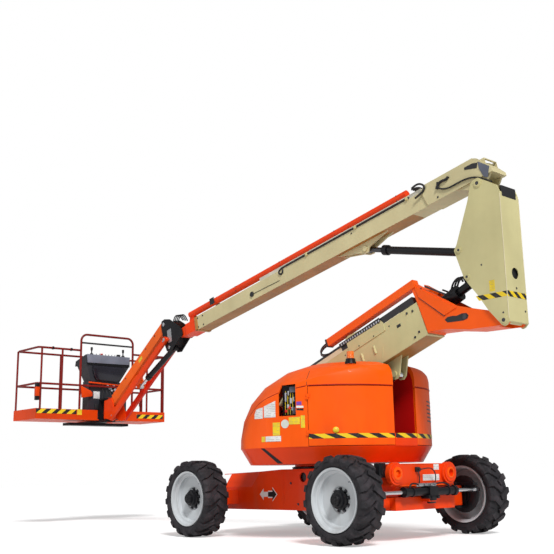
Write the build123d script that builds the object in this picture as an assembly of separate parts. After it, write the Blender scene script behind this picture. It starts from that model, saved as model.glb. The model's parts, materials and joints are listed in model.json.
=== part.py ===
"""Articulating boom lift: a self-propelled work platform on a two-stage folding boom.

Every piece is a solid of its own, drawn in one frame: +X towards the steered axle, +Y to the
machine's other flank, +Z up, origin on the floor under the slew axis. Millimetres.
"""
from build123d import *
import math
import os

os.makedirs("parts", exist_ok=True)

# ---------------------------------------------------------------- driving dimensions
PAD_FIT = 0.1
RUN_FIT = 0.05          # radial clearance of a shaft in its bore
SIDE_GAP = 6.0          # air between two plates that swing past each other
SKIN_GAP = 6.0          # joint line between a hood door and its frame
SEAT = 0.0              # bolted faces touch

# wheels
WHEELBASE = 2500.0
OVERALL_WIDTH = 2490.0
TYRE_R = 450.0
TYRE_W = 355.0
LIP_R = 322.0
RIM_BORE_R = 296.0
DISH_DEPTH = 118.0
HUB_R = 100.0
SPINDLE_R = 60.0
LUG_H = 24.0
LUGS_PER_SIDE = 17
TRACK_HALF = (OVERALL_WIDTH - TYRE_W) / 2

# chassis
FRAME_HALF_W = 480.0
FRAME_LOW = 300.0
FRAME_TOP = 770.0
FRAME_WALL = 20.0
FRAME_END_X = -WHEELBASE / 2 - 180.0
FRAME_END_Z = 728.0
BOSS_R = 118.0            # round bosses at the steered end
BOSS_Y = (-524.0, 371.0)
BOSS_Z = 698.0
KINGPIN_INSET = 250.0
KINGPIN_R = 25.0
STEER_ROD_X = WHEELBASE / 2 + 262.0
STEER_ROD_Z = 505.0
STEER_ROD_R = 22.0
STEER_BARREL_R = 43.0
STEER_BARREL_HALF = 440.0
AXLE_HALF = 500.0

# slew
SLEW_R = 420.0
SLEW_SPIGOT_R = 330.0
DECK_Z = 824.0
DECK_T = 26.0
CREASE_Z = 1003.0

# hood
HOOD_R = 1235.0
HOOD_TOP = 1950.0
HOOD_T = 14.0
DOME_X = 450.0
SLOT_HALF = 186.0
SILL_TOP = 1136.0         # foot of the rear slot
DOOR_TOP = 1655.0
SEAM_DEG = 55.5

# tower: pivot, angle above the floor, length to the mouth
TOWER_PIVOT = (-800.0, 1471.0)
TOWER_DEG = 20.0
TOWER_LEN = 2612.0
TOWER_W = 300.0
TOWER_H = 400.0
TOWER_WALL = 16.0
TOWER_SLIDE_GAP = 6.0
TOWER_STROKE = 1300.0
TOWER_RAM_FOOT = (-330.0, 1010.0)
TOWER_RAM_EYE = (1150.0, 1800.0)
CROWN_SLOT = 72.0

# upright
UPRIGHT_W = 345.0
UPRIGHT_T = 16.0
UPRIGHT_FOOT = (2722.0, 2192.0)
MAIN_PIVOT = (2518.0, 3695.0)
LEVEL_TOP = (2308.0, 2710.0)
LIFT_FOOT = (2223.0, 3019.0)
UPRIGHT_BACK = 2785.0
PIN_R = 25.0

# main boom: slope below the floor plane, section, length to the mouth
BOOM_DEG = 11.0
BOOM_W = 230.0
BOOM_H = 200.0
BOOM_WALL = 10.0
BOOM_FLOOR = 68.0
BOOM_LEN = 5160.0
BOOM_SLIDE_GAP = 5.0
BOOM_STROKE = 2900.0
NOSE_U = 5560.0

# jib
JIB_TOP_PIN = (-3400.0, 2985.0)
LINK_TOP_PIN = (-3310.0, 2735.0)
JIB_DEG = 35.77
JIB_LEN = 1830.0
JIB_W = 160.0
JIB_H = 160.0
LINK_W = 40.0
LINK_H = 92.0
JIB_PLATE_T = 18.0
JIB_RAM_FOOT = (-3240.0, 2615.0)
JIB_RAM_EYE = (-4151.0, 2112.0)

# platform
ROTATOR_X = -5060.0
ROTATOR_R = 92.0
PLATFORM_NEAR = -5262.0
PLATFORM_DEPTH = 760.0
PLATFORM_HALF = 1220.0
PLATFORM_Z = 1640.0
TOE_H = 165.0
RAIL_R = 17.0
TOP_RAIL = 2775.0
MID_RAIL = 2200.0
HOOP_TOP = 3045.0
HOOP_Y = (-440.0, 560.0)    # near rail loop over the console, side to side
CONSOLE_Y = (-320.0, 520.0)
TOE_GAP_Y = (-112.0, 383.0)


# ---------------------------------------------------------------- drawing helpers
def prism_xz(points, y0, y1):
    """Side-view outline (x, z) drawn out from y0 to y1."""
    wire = Polyline(*[(x, y0, z) for x, z in points], close=True)
    return extrude(make_face(wire), amount=y1 - y0, dir=(0, 1, 0))


def prism_xy(points, z0, z1):
    """Plan outline (x, y) drawn out from z0 to z1."""
    wire = Polyline(*[(x, y, z0) for x, y in points], close=True)
    return extrude(make_face(wire), amount=z1 - z0, dir=(0, 0, 1))


def prism_yz(points, x0, x1):
    """End-view outline (y, z) drawn out from x0 to x1."""
    wire = Polyline(*[(x0, y, z) for y, z in points], close=True)
    return extrude(make_face(wire), amount=x1 - x0, dir=(1, 0, 0))


def block(x0, x1, y0, y1, z0, z1):
    """Plain box between two corners."""
    return Pos((x0 + x1) / 2, (y0 + y1) / 2, (z0 + z1) / 2) * Box(x1 - x0, y1 - y0, z1 - z0)


def bar(p0, p1, r):
    """Round bar between two points."""
    a = Vector(*p0)
    b = Vector(*p1)
    plane = Plane(origin=a, z_dir=(b - a))
    return extrude(plane * Circle(r), amount=(b - a).length)


def pin_y(xz, r, y0, y1):
    """Round bar along Y through a side-view point."""
    return bar((xz[0], y0, xz[1]), (xz[0], y1, xz[1]), r)


def revolved(profile, closed=True):
    """Solid of revolution about Z from (radius, z) points."""
    wire = Polyline(*[(r, 0, z) for r, z in profile], close=closed)
    return revolve(make_face(wire), axis=Axis.Z)


class Slant:
    """Side-view frame with its own origin and slope: s along, n square to it."""

    def __init__(self, origin, angle_deg, flip=False):
        a = math.radians(angle_deg)
        self.o = origin
        self.d = (math.cos(a), math.sin(a))
        self.n = (-self.d[1], self.d[0])
        if flip:
            self.n = (self.d[1], -self.d[0])

    def at(self, s, n):
        """Side-view point of frame coordinates (s, n)."""
        return (
            self.o[0] + s * self.d[0] + n * self.n[0],
            self.o[1] + s * self.d[1] + n * self.n[1],
        )

    def outline(self, points):
        """List of side-view points."""
        return [self.at(s, n) for s, n in points]

    def slab(self, s0, s1, n0, n1, y0, y1):
        """Box in the frame."""
        return prism_xz(self.outline([(s0, n0), (s1, n0), (s1, n1), (s0, n1)]), y0, y1)

    def tube(self, s0, s1, nc, w, h, t):
        """Hollow box section, open at both ends."""
        outer = self.slab(s0, s1, nc - h / 2, nc + h / 2, -w / 2, w / 2)
        inner = self.slab(s0 - 1, s1 + 1, nc - h / 2 + t, nc + h / 2 - t, -w / 2 + t, w / 2 - t)
        return outer - inner


def slant_between(p0, p1):
    """Slant frame from one side-view point towards another, with the distance."""
    dx = p1[0] - p0[0]
    dz = p1[1] - p0[1]
    return Slant(p0, math.degrees(math.atan2(dz, dx))), math.hypot(dx, dz)


def mirrored(shape):
    """Copy on the other flank."""
    return mirror(shape, about=Plane.XZ)


def save(node, shape):
    """Write one piece, checked to be a single solid."""
    solids = shape.solids()
    if len(solids) != 1:
        raise ValueError(f"{node}: {len(solids)} solids")
    export_step(solids[0], f"parts/{node}.step")


TOWER = Slant(TOWER_PIVOT, TOWER_DEG)
BOOM = Slant(MAIN_PIVOT, 180.0 + BOOM_DEG, flip=True)
JIB = Slant(JIB_TOP_PIN, 180.0 + JIB_DEG, flip=True)
NOSE = BOOM.at(NOSE_U, BOOM_FLOOR + BOOM_H / 2)
JIB_LOW_PIN = JIB.at(JIB_LEN, 0)
LINK_LOW_PIN = (
    LINK_TOP_PIN[0] + JIB_LOW_PIN[0] - JIB_TOP_PIN[0],
    LINK_TOP_PIN[1] + JIB_LOW_PIN[1] - JIB_TOP_PIN[1],
)


# ---------------------------------------------------------------- wheels
def wheel_place(sx, sy):
    """Placement of a wheel drawn about +Z (outboard) onto its axle end."""
    turn = Rot(-90, 0, 0) if sy > 0 else Rot(90, 0, 0)
    return Pos(sx * WHEELBASE / 2, sy * TRACK_HALF, TYRE_R) * turn


def tyre_envelope(extra):
    """Tyre outline of revolution about Z; extra lifts the tread and the shoulders."""
    h = TYRE_W / 2
    top = TYRE_R - LUG_H + extra
    side = h - 12 + extra * 0.5
    half = [
        (LIP_R - 13.8, side - 38),
        (LIP_R + 1, side - 31),
        (LIP_R + 26, side - 6),
        (TYRE_R - 78, side),
        (TYRE_R - 48 + extra * 0.5, side - 4),
        (top - 8, side - 26),
        (top, side - 70),
    ]
    pts = half + [(r, -z) for r, z in reversed(half)]
    return revolved(pts)


def tyre():
    """Heavy tyre with two rows of slanted lugs that run over the shoulders."""
    carcass = tyre_envelope(0) - Cylinder(LIP_R - 13.8, TYRE_W * 2)
    tips = tyre_envelope(LUG_H)
    lugs = []
    pitch = 360.0 / LUGS_PER_SIDE
    for row, sign in ((0, 1), (1, -1)):
        for i in range(LUGS_PER_SIDE):
            ang = (i + 0.5 * row) * pitch
            tread = Pos(TYRE_R - 12, 0, sign * 62) * Rot(sign * 33, 0, 0) * Box(58, 62, 158)
            shoulder = Pos(TYRE_R - 34, -sign * 40 * sign, sign * 150) * Box(100, 64, 62)
            lugs += [Rot(0, 0, ang) * tread, Rot(0, 0, ang) * shoulder]
    body = lugs[0]
    body = body + lugs[1:]
    return carcass + (body & (tips - Cylinder(TYRE_R - LUG_H - 40, TYRE_W * 2)))


def rim():
    """Dished steel wheel: lip, drop centre, shelf in the barrel and a smooth disc."""
    h = TYRE_W / 2 - 12
    dish = h - DISH_DEPTH
    shelf = dish + 50
    pts = [
        (LIP_R - 20, h - 20), (LIP_R, h - 14), (LIP_R, h - 30), (LIP_R - 14, h - 36),
        (LIP_R - 14, dish + 44), (LIP_R - 46, dish + 34), (LIP_R - 46, dish - 4), (LIP_R - 14, dish - 14),
        (LIP_R - 14, -h + 36), (LIP_R, -h + 30), (LIP_R, -h + 14), (LIP_R - 20, -h + 20),
        (RIM_BORE_R - 8, -h + 44), (RIM_BORE_R - 8, dish - 34), (RIM_BORE_R - 70, dish - 14),
        (HUB_R + 46, dish - 14), (HUB_R + 34, dish - 30), (SPINDLE_R + 22, dish - 30),
        (SPINDLE_R + 22, dish - 14), (HUB_R + 26, dish - 14), (HUB_R + 40, dish),
        (RIM_BORE_R - 42, dish + 2), (RIM_BORE_R - 34, dish + 8), (RIM_BORE_R - 32, shelf - 4),
        (RIM_BORE_R - 28, shelf), (RIM_BORE_R - 8, shelf + 4), (RIM_BORE_R, shelf + 12), (RIM_BORE_R, h - 40),
    ]
    return revolved(pts)


def hub():
    """Stepped hub with a blind bore for the axle spindle."""
    dish = TYRE_W / 2 - 12 - DISH_DEPTH
    back = dish - 62
    pts = [
        (0, dish + 96), (52, dish + 96), (60, dish + 88), (60, dish + 62), (84, dish + 56),
        (84, dish + 24), (HUB_R, dish + 14), (HUB_R, dish - 14), (SPINDLE_R + 22, dish - 14),
        (SPINDLE_R + 22, dish - 30), (SPINDLE_R + 50, dish - 30), (SPINDLE_R + 50, back),
        (SPINDLE_R + RUN_FIT, back), (SPINDLE_R + RUN_FIT, dish + 30), (0, dish + 30),
    ]
    return revolved(pts)


HUB_BACK = TYRE_W / 2 - 12 - DISH_DEPTH - 62
SPINDLE_TIP = TYRE_W / 2 - 12 - DISH_DEPTH + 29.5


# ---------------------------------------------------------------- chassis
def end_facet(s, grow):
    """Wedge off the frame's upper edge at the fixed end, on one flank."""
    y = FRAME_HALF_W
    inward = grow * 1.224
    ends = [(y + 20 - inward, FRAME_TOP - 228), (y - 162 - inward, FRAME_TOP + 30),
            (y + 60, FRAME_TOP + 30), (y + 60, FRAME_TOP - 228)]
    wedge = prism_yz([(s * a, z) for a, z in ends], FRAME_END_X - 50, FRAME_END_X + 800)
    side = [(FRAME_END_X - 40, FRAME_TOP - 270), (FRAME_END_X + 464 + grow, FRAME_TOP - 270),
            (FRAME_END_X + 740 + grow, FRAME_TOP + 22), (FRAME_END_X - 40, FRAME_TOP + 22)]
    return wedge & prism_xz(side, -y - 80, y + 80)


def chassis_frame():
    """Welded box frame, faceted at the fixed end, open below, with the slew pedestal."""
    x = WHEELBASE / 2
    e = FRAME_END_X
    side = [
        (e, FRAME_LOW), (e, FRAME_END_Z), (e + 700, FRAME_TOP - 22), (e + 1090, FRAME_TOP),
        (x + 80, FRAME_TOP), (x + 190, FRAME_TOP + 30), (x + 190, 560), (x + 110, 470), (x - 140, 470),
        (x - 270, FRAME_LOW),
    ]
    shape = prism_xz(side, -FRAME_HALF_W, FRAME_HALF_W)
    inner = [
        (e + FRAME_WALL, FRAME_LOW - 5), (e + FRAME_WALL, FRAME_END_Z - 22), (e + 700, FRAME_TOP - 46),
        (e + 1080, FRAME_TOP - 24), (x - 350, FRAME_TOP - 24), (x - 350, FRAME_LOW - 5),
    ]
    w = FRAME_HALF_W - FRAME_WALL
    void = prism_xz(inner, -w, w)
    for s in (-1, 1):
        void -= end_facet(s, FRAME_WALL)
        shape -= end_facet(s, 0)
    shape -= void
    # cross walls under the pedestal
    shape += block(-320, -300, -w, w, FRAME_LOW + 20, FRAME_TOP - 24)
    shape += block(420, 440, -w, w, FRAME_LOW + 20, FRAME_TOP - 24)
    # the fixed axle passes through both sides
    shape -= block(-x - 80, -x + 80, -FRAME_HALF_W - 20, FRAME_HALF_W + 20, TYRE_R - 85, TYRE_R + 85)
    # slew pedestal: ring under the turntable with a short spigot
    shape += Pos(0, 0, FRAME_TOP + 20) * Cylinder(SLEW_R, 60)
    shape += Pos(0, 0, DECK_Z) * Cylinder(SLEW_SPIGOT_R, 40)
    shape -= Pos(0, 0, FRAME_TOP + 20) * Cylinder(SLEW_SPIGOT_R - 60, 200)
    # steered end: plate, a lug outside the near flank and a round boss at each side
    shape += block(x + 180, x + 220, -FRAME_HALF_W + 2, FRAME_HALF_W - 2, 565, FRAME_TOP + 30)
    lug = [(x + 90, 570), (x + 220, 570), (x + 240, 590), (x + 240, FRAME_TOP + 10),
           (x + 220, FRAME_TOP + 30), (x + 90, FRAME_TOP + 30)]
    shape += prism_xz(lug, BOSS_Y[0] - 66, -FRAME_HALF_W + 10)
    for y in BOSS_Y:
        shape += bar((x + 200, y, BOSS_Z), (x + 256, y, BOSS_Z), BOSS_R)
        shape += bar((x + 250, y, BOSS_Z), (x + 270, y, BOSS_Z), BOSS_R - 26)
        shape -= bar((x + 240, y, BOSS_Z), (x + 290, y, BOSS_Z), 40)
    # round hole in each flank, behind the slew ring
    shape -= bar((30, -FRAME_HALF_W - 20, 677), (30, -w + 20, 677), 56)
    shape -= bar((30, w - 20, 677), (30, FRAME_HALF_W + 20, 677), 56)
    return shape


def axle_fixed():
    """Rigid axle: cross tube with a spindle at each end."""
    x = -WHEELBASE / 2
    y_hub = TRACK_HALF + HUB_BACK
    shape = block(x - 80, x + 80, -y_hub + 60, y_hub - 60, TYRE_R - 85, TYRE_R + 85)
    for s in (-1, 1):
        shape += bar((x, s * (y_hub - 60), TYRE_R), (x, s * (y_hub - 1), TYRE_R), 100)
        shape += bar((x, s * (y_hub - 10), TYRE_R), (x, s * (TRACK_HALF + SPINDLE_TIP), TYRE_R), SPINDLE_R)
    return shape


def axle_steer():
    """Oscillating axle beam with an upright kingpin boss at each end."""
    x = WHEELBASE / 2
    k = TRACK_HALF - KINGPIN_INSET
    shape = block(x - 60, x + 200, -AXLE_HALF, AXLE_HALF, 318, 452)
    for s in (-1, 1):
        arm = prism_xy([(x - 60, s * (AXLE_HALF - 5)), (x + 120, s * (AXLE_HALF - 5)),
                        (x + 50, s * k), (x - 50, s * k)], 330, 452)
        shape += arm
        shape += Pos(x, s * k, 440) * Cylinder(56, 220)
        shape -= Pos(x, s * k, 440) * Cylinder(KINGPIN_R + RUN_FIT, 400)
    # saddle under the frame that carries the rocking pin
    shape += block(x - 60, x + 60, -150, 150, 452, 470)
    # bracket for the steering cylinder's trunnion
    shape += block(x + 190, STEER_ROD_X + 40, -70, 70, 400, STEER_ROD_Z - STEER_BARREL_R)
    return shape


def steer_cylinder():
    """Double-ended steering cylinder with a centre block and two glands."""
    half = STEER_BARREL_HALF - 42
    shape = bar((STEER_ROD_X, -half, STEER_ROD_Z), (STEER_ROD_X, half, STEER_ROD_Z), STEER_BARREL_R)
    shape += block(STEER_ROD_X - 62, STEER_ROD_X + 62, -70, 70, STEER_ROD_Z - STEER_BARREL_R,
                   STEER_ROD_Z + 52)
    for s in (-1, 1):
        shape += bar((STEER_ROD_X, s * half, STEER_ROD_Z), (STEER_ROD_X, s * (half + 42), STEER_ROD_Z), 54)
    shape -= bar((STEER_ROD_X, -half - 80, STEER_ROD_Z), (STEER_ROD_X, half + 80, STEER_ROD_Z),
                 STEER_ROD_R + RUN_FIT)
    return shape


ARM_X = STEER_ROD_X
ARM_Z = 566.0


def steer_rod():
    """Through rod with a slotted eye plate at each end for the steering arms."""
    k = TRACK_HALF - KINGPIN_INSET
    shape = bar((STEER_ROD_X, -k + 50, STEER_ROD_Z), (STEER_ROD_X, k - 50, STEER_ROD_Z), STEER_ROD_R)
    for s in (-1, 1):
        y0, y1 = sorted((s * (k - 62), s * (k + 30)))
        shape += block(ARM_X - 72, ARM_X + 40, y0, y1, STEER_ROD_Z - 16, STEER_ROD_Z + 16)
        slot = block(ARM_X - 38, ARM_X + 2, s * k - 16, s * k + 16, STEER_ROD_Z - 30, STEER_ROD_Z + 30)
        slot += Pos(ARM_X + 2, s * k, STEER_ROD_Z) * Cylinder(16, 60)
        slot += Pos(ARM_X - 38, s * k, STEER_ROD_Z) * Cylinder(16, 60)
        shape -= slot
    return shape


def knuckle(s):
    """Steering knuckle: yoke over the kingpin boss, spindle outboard, arm forward."""
    x = WHEELBASE / 2
    k = TRACK_HALF - KINGPIN_INSET
    y_hub = TRACK_HALF + HUB_BACK

    def span(a, b):
        return sorted((s * a, s * b))

    y0, y1 = span(k, k + 92)
    shape = block(x - 62, x + 62, *span(k + 64, k + 92), 296, 584)
    for z0, z1 in ((296, 324), (556, 584)):
        shape += block(x - 62, x + 62, y0, y1, z0, z1)
        shape += Pos(x, s * k, (z0 + z1) / 2) * Cylinder(62, z1 - z0)
    shape += Pos(x, s * k, 440) * Cylinder(KINGPIN_R, 240)
    shape += bar((x, s * (k + 90), TYRE_R), (x, s * (y_hub - 1), TYRE_R), 100)
    shape += bar((x, s * (k + 90), TYRE_R), (x, s * (TRACK_HALF + SPINDLE_TIP), TYRE_R), SPINDLE_R)
    shape += prism_xy([(x, s * (k - 50)), (ARM_X, s * (k - 34)), (ARM_X + 30, s * k),
                       (ARM_X, s * (k + 34)), (x, s * (k + 50))], 556, 584)
    shape += bar((ARM_X, s * k, STEER_ROD_Z - 22), (ARM_X, s * k, 570), 12)
    return shape


# ---------------------------------------------------------------- turntable
DOME = [(494, 1975), (811, 1874), (1073, 1706), (1230, 1520), (1319, 1317), (1355, 1117), (1358, 1003)]


def drum(inset):
    """Rear half of the hood: upright wall with a rounded top edge."""
    r = HOOD_R - inset
    t = HOOD_TOP - inset
    edge = [(r, CREASE_Z - 400), (r, t - 190), (r - 14, t - 120), (r - 52, t - 56), (r - 118, t - 16),
            (r - 260, t)]
    pts = [(0, CREASE_Z - 400)] + edge + [(0, t + 6)]
    return revolved(pts)


def dome(inset):
    """Front of the hood: a bonnet that falls away in one curve."""
    pts = [(0, 600), (1358 - inset, 600)] + [(r - inset, z - inset * 0.6) for r, z in reversed(DOME)]
    pts += [(0, 2010 - inset * 0.6)]
    return Pos(DOME_X, 0, 0) * revolved(pts)


def hood_form(inset):
    """Whole hood volume above the crease."""
    return drum(inset) & dome(inset)


def side_crease():
    """Shallow groove that climbs each flank of the bonnet up to the seam."""
    low = [(-360, 1060), (-240, 1224), (-90, 1372), (60, 1482), (220, 1546), (390, 1592), (600, 1634),
           (690, 1652)]
    band = prism_xz(low + [(x, z + 11) for x, z in reversed(low)], -HOOD_R - 100, HOOD_R + 100)
    return band & (hood_form(0) - hood_form(5))


def slot_cheek(s):
    """Inner wall of the rear slot on one side, hung from the roof behind the door."""
    y0, y1 = sorted((s * SLOT_HALF, s * (SLOT_HALF + 8)))
    low = hood_form(HOOD_T + SKIN_GAP) & block(350, 2000, y0, y1, CREASE_Z + 31, DOOR_TOP + 1)
    return low + (hood_form(1) & block(350, 2000, y0, y1, DOOR_TOP, 2200))


def hood_shell():
    """Hood skin above the crease, open below, with the slot for the booms."""
    skin = hood_form(0) - hood_form(HOOD_T)
    skin &= block(-2000, 2000, -2000, 2000, CREASE_Z, 2100)
    skin -= side_crease()
    return skin - block(-2000, 2000, -SLOT_HALF, SLOT_HALF, 900, 2200)


def door_zone(s):
    """Volume of the side door: behind the seam, below the roof."""
    a = math.radians(SEAM_DEG)
    far = 2400
    pts = [(60 * math.cos(a), s * 60 * math.sin(a)), (far * math.cos(a), s * far * math.sin(a)),
           (far, s * far), (far, s * (SLOT_HALF - 20)), (300, s * (SLOT_HALF - 20))]
    return prism_xy(pts, CREASE_Z, DOOR_TOP)


WINDOW_DEG = 66.5


def door_hinge(s):
    """Two pin hinges at the seam: the fixed halves and the moving halves."""
    a = math.radians(SEAM_DEG)
    r = HOOD_R + 12
    place = Pos(r * math.cos(a), s * r * math.sin(a), 0) * Rot(0, 0, s * SEAM_DEG)
    fixed, moving = [], []
    for z in (1150.0, 1540.0):
        f = Pos(0, 0, z) * Cylinder(6, 60) + Pos(0, 0, z - 20) * Cylinder(11, 20)
        f += block(-20, 0, min(0, s * 24), max(0, s * 24), z - 30, z - 10)
        m = Pos(0, 0, z + 10) * Cylinder(11, 38)
        m += block(-20, 0, min(0, -s * 24), max(0, -s * 24), z - 9, z + 29)
        m -= Pos(0, 0, z) * Cylinder(6 + RUN_FIT, 80)
        fixed.append(place * f)
        moving.append(place * m)
    return fixed, moving


def hood(s):
    """Fixed hood half: front wall and the whole roof, with the control window."""
    skin = hood_shell() & block(-2000, 2000, min(0, s * 2000), max(0, s * 2000), 0, 3000)
    zone = door_zone(s)
    skin -= zone
    if s < 0:
        a = math.radians(-WINDOW_DEG)
        r = HOOD_R - 85
        win = Pos(r * math.cos(a), r * math.sin(a), 1512) * Rot(0, 0, -WINDOW_DEG) * Box(300, 205, 345)
        skin -= win
    solids = skin.solids().sort_by(SortBy.VOLUME)
    fixed, moving = door_hinge(s)
    return solids[-1] + fixed + slot_cheek(s)


def hood_door(s):
    """Side door behind the seam, hinged at the seam."""
    skin = hood_shell() & block(-2000, 2000, min(0, s * 2000), max(0, s * 2000), 0, 3000)
    a = math.radians(SEAM_DEG)
    c, n = math.cos(a), math.sin(a)
    g = SKIN_GAP
    far = 2400
    pts = [(c * 700 + n * g, s * (n * 700 - c * g)), (far * c + n * g, s * (far * n - c * g)),
           (far, s * far), (far, s * (SLOT_HALF + g)), (700, s * (SLOT_HALF + g))]
    zone = prism_xy(pts, CREASE_Z + g, DOOR_TOP - g)
    door = (skin & zone).solids().sort_by(SortBy.VOLUME)[-1]
    fixed, moving = door_hinge(s)
    return door + moving


def skirt_form(inset):
    """Volume under the crease: the hood's plan drawn in towards its foot."""
    low = DECK_Z
    d = revolved([(0, low), (1120 - inset, low), (1224 - inset, CREASE_Z - 14), (1230 - inset, CREASE_Z),
                  (0, CREASE_Z)])
    e = Pos(DOME_X, 0, 0) * revolved([(0, low), (1245 - inset, low), (1344 - inset, CREASE_Z - 14),
                                      (1352 - inset, CREASE_Z), (0, CREASE_Z)])
    return d & e


CHEEK_Y = (TOWER_W / 2 + SIDE_GAP, TOWER_W / 2 + SIDE_GAP + 22)


def turntable_frame():
    """Deck plate, tapering skirt and the pair of tower cheeks."""
    shape = skirt_form(0)
    hollow = skirt_form(HOOD_T) & block(-2000, 2000, -2000, 2000, DECK_Z + DECK_T, CREASE_Z + 10)
    shape -= hollow
    shape -= Pos(0, 0, DECK_Z) * Cylinder(SLEW_SPIGOT_R + RUN_FIT, 200)
    # sill across the foot of the rear slot
    sill = block(400, 2000, -SLOT_HALF, SLOT_HALF, CREASE_Z - 3, SILL_TOP)
    shape += (hood_form(0) - hood_form(HOOD_T)) & sill
    # tower cheeks
    p = TOWER_PIVOT
    f = TOWER_RAM_FOOT
    low = DECK_Z + 16
    cheek = [(p[0] - 60, low), (p[0] - 160, p[1] - 71), (p[0] - 100, p[1] + 89), (p[0] + 10, p[1] + 129),
             (p[0] + 110, p[1] + 89), (f[0] + 80, f[1] + 170), (f[0] + 570, f[1] + 50), (f[0] + 660, low)]
    ya, yb = CHEEK_Y
    for y0, y1 in ((-yb, -ya), (ya, yb)):
        shape += prism_xz(cheek, y0, y1)
    shape -= Pos(0, 0, DECK_Z) * Cylinder(SLEW_SPIGOT_R + RUN_FIT, 60)
    for s in (-1, 1):
        shape += pin_y(TOWER_PIVOT, 62, min(s * ya, s * (yb + 6)), max(s * ya, s * (yb + 6)))
    shape += pin_y(TOWER_PIVOT, 40, -ya - 4, ya + 4)
    # cylinder foot pin
    shape += pin_y(TOWER_RAM_FOOT, PIN_R + 5, -ya - 4, ya + 4)
    return shape


def counterweight():
    """Cast rear weight inside the skirt, with a valley for the folded tower."""
    shape = skirt_form(HOOD_T + 3) & block(520, 2000, -2000, 2000, DECK_Z + DECK_T, CREASE_Z)
    wall = Pos(0, 0, 1200) * Cylinder(HOOD_R - HOOD_T - 26, 560)
    wall &= block(560, 2000, -2000, 2000, CREASE_Z - 20, 1480)
    wall -= block(0, 2000, -260, 260, 1030, 2000)
    return shape + (wall & dome(HOOD_T + 12))


def engine_block():
    """Engine as one plain block on the deck."""
    y = HOOD_R - 905
    return block(-250, 330, y, y + 400, DECK_Z + DECK_T, DECK_Z + 506)


def ground_control():
    """Box of lower controls behind the window."""
    a = math.radians(-WINDOW_DEG)
    r = HOOD_R - 145
    place = Pos(r * math.cos(a), r * math.sin(a), 1512) * Rot(0, 0, -WINDOW_DEG)
    body = place * Box(90, 190, 330)
    foot = DECK_Z + DECK_T
    post = block(-20, 20, -30, 30, foot, 1400)
    post = Pos((r - 20) * math.cos(a), (r - 20) * math.sin(a), 0) * Rot(0, 0, -WINDOW_DEG) * post
    return body + post


def beacon():
    """Round warning lamp on a short base."""
    x = HOOD_R - 355
    y = 735 - HOOD_R
    foot = Pos(x, y, HOOD_TOP - 10) * Cylinder(52, 60)
    lens = Pos(x, y, HOOD_TOP + 60) * Cylinder(42, 90)
    return foot + lens - hood_form(0)


# ---------------------------------------------------------------- tower
def tower_base():
    """Lower boom: deep box section with a mouth collar, foot lugs and ram ears."""
    h = TOWER_H / 2
    shape = TOWER.tube(120, TOWER_LEN, 0, TOWER_W, TOWER_H, TOWER_WALL)
    shape += TOWER.slab(120, 136, -h + 1, h - 1, -TOWER_W / 2 + 1, TOWER_W / 2 - 1)
    for y0, y1 in ((-TOWER_W / 2, -TOWER_W / 2 + 30), (TOWER_W / 2 - 30, TOWER_W / 2)):
        foot = prism_xz(TOWER.outline([(130, -h), (130, h), (-30, 90), (-90, 40), (-90, -40), (-30, -90)]),
                        y0, y1)
        shape += foot
    shape -= pin_y(TOWER_PIVOT, 40 + RUN_FIT, -200, 200)
    # ram ears under the box
    e = TOWER_RAM_EYE
    ear = [TOWER.at(2120, -h + 1), TOWER.at(1880, -h + 1), (e[0] - 60, e[1] - 40), (e[0] - 20, e[1] - 62),
           (e[0] + 30, e[1] - 58), (e[0] + 66, e[1] - 20)]
    for y0, y1 in ((-66, -46), (46, 66)):
        shape += prism_xz(ear, y0, y1)
    for y0, y1 in ((-82, -66), (66, 82)):
        shape += pin_y(e, 34, y0, y1)
    # plate on the near flank that guides the hose track, with a row of round holes
    plate = TOWER.outline([(1480, 120), (1480, 318), (1540, 330), (2060, 262), (2085, 222), (2085, 120)])
    shape += prism_xz(plate, -TOWER_W / 2 - 8, -TOWER_W / 2 + 1)
    for i in range(5):
        c = TOWER.at(1573 + 115 * i, 278 - 7 * i)
        shape -= pin_y(c, 15, -TOWER_W / 2 - 20, -TOWER_W / 2 + 20)
    # wear pads in the mouth
    iw = TOWER_W - 2 * TOWER_WALL + 2
    ih = TOWER_H - 2 * TOWER_WALL + 2
    shape += TOWER.tube(TOWER_LEN - 180, TOWER_LEN - 6, 0, iw, ih, TOWER_SLIDE_GAP - PAD_FIT + 1)
    return shape


def tower_track():
    """Hose track in a black tray along the top of the lower boom."""
    h = TOWER_H / 2
    shape = TOWER.slab(560, TOWER_LEN - 40, h, h + 92, -TOWER_W / 2 + 6, -30)
    return shape


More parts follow.
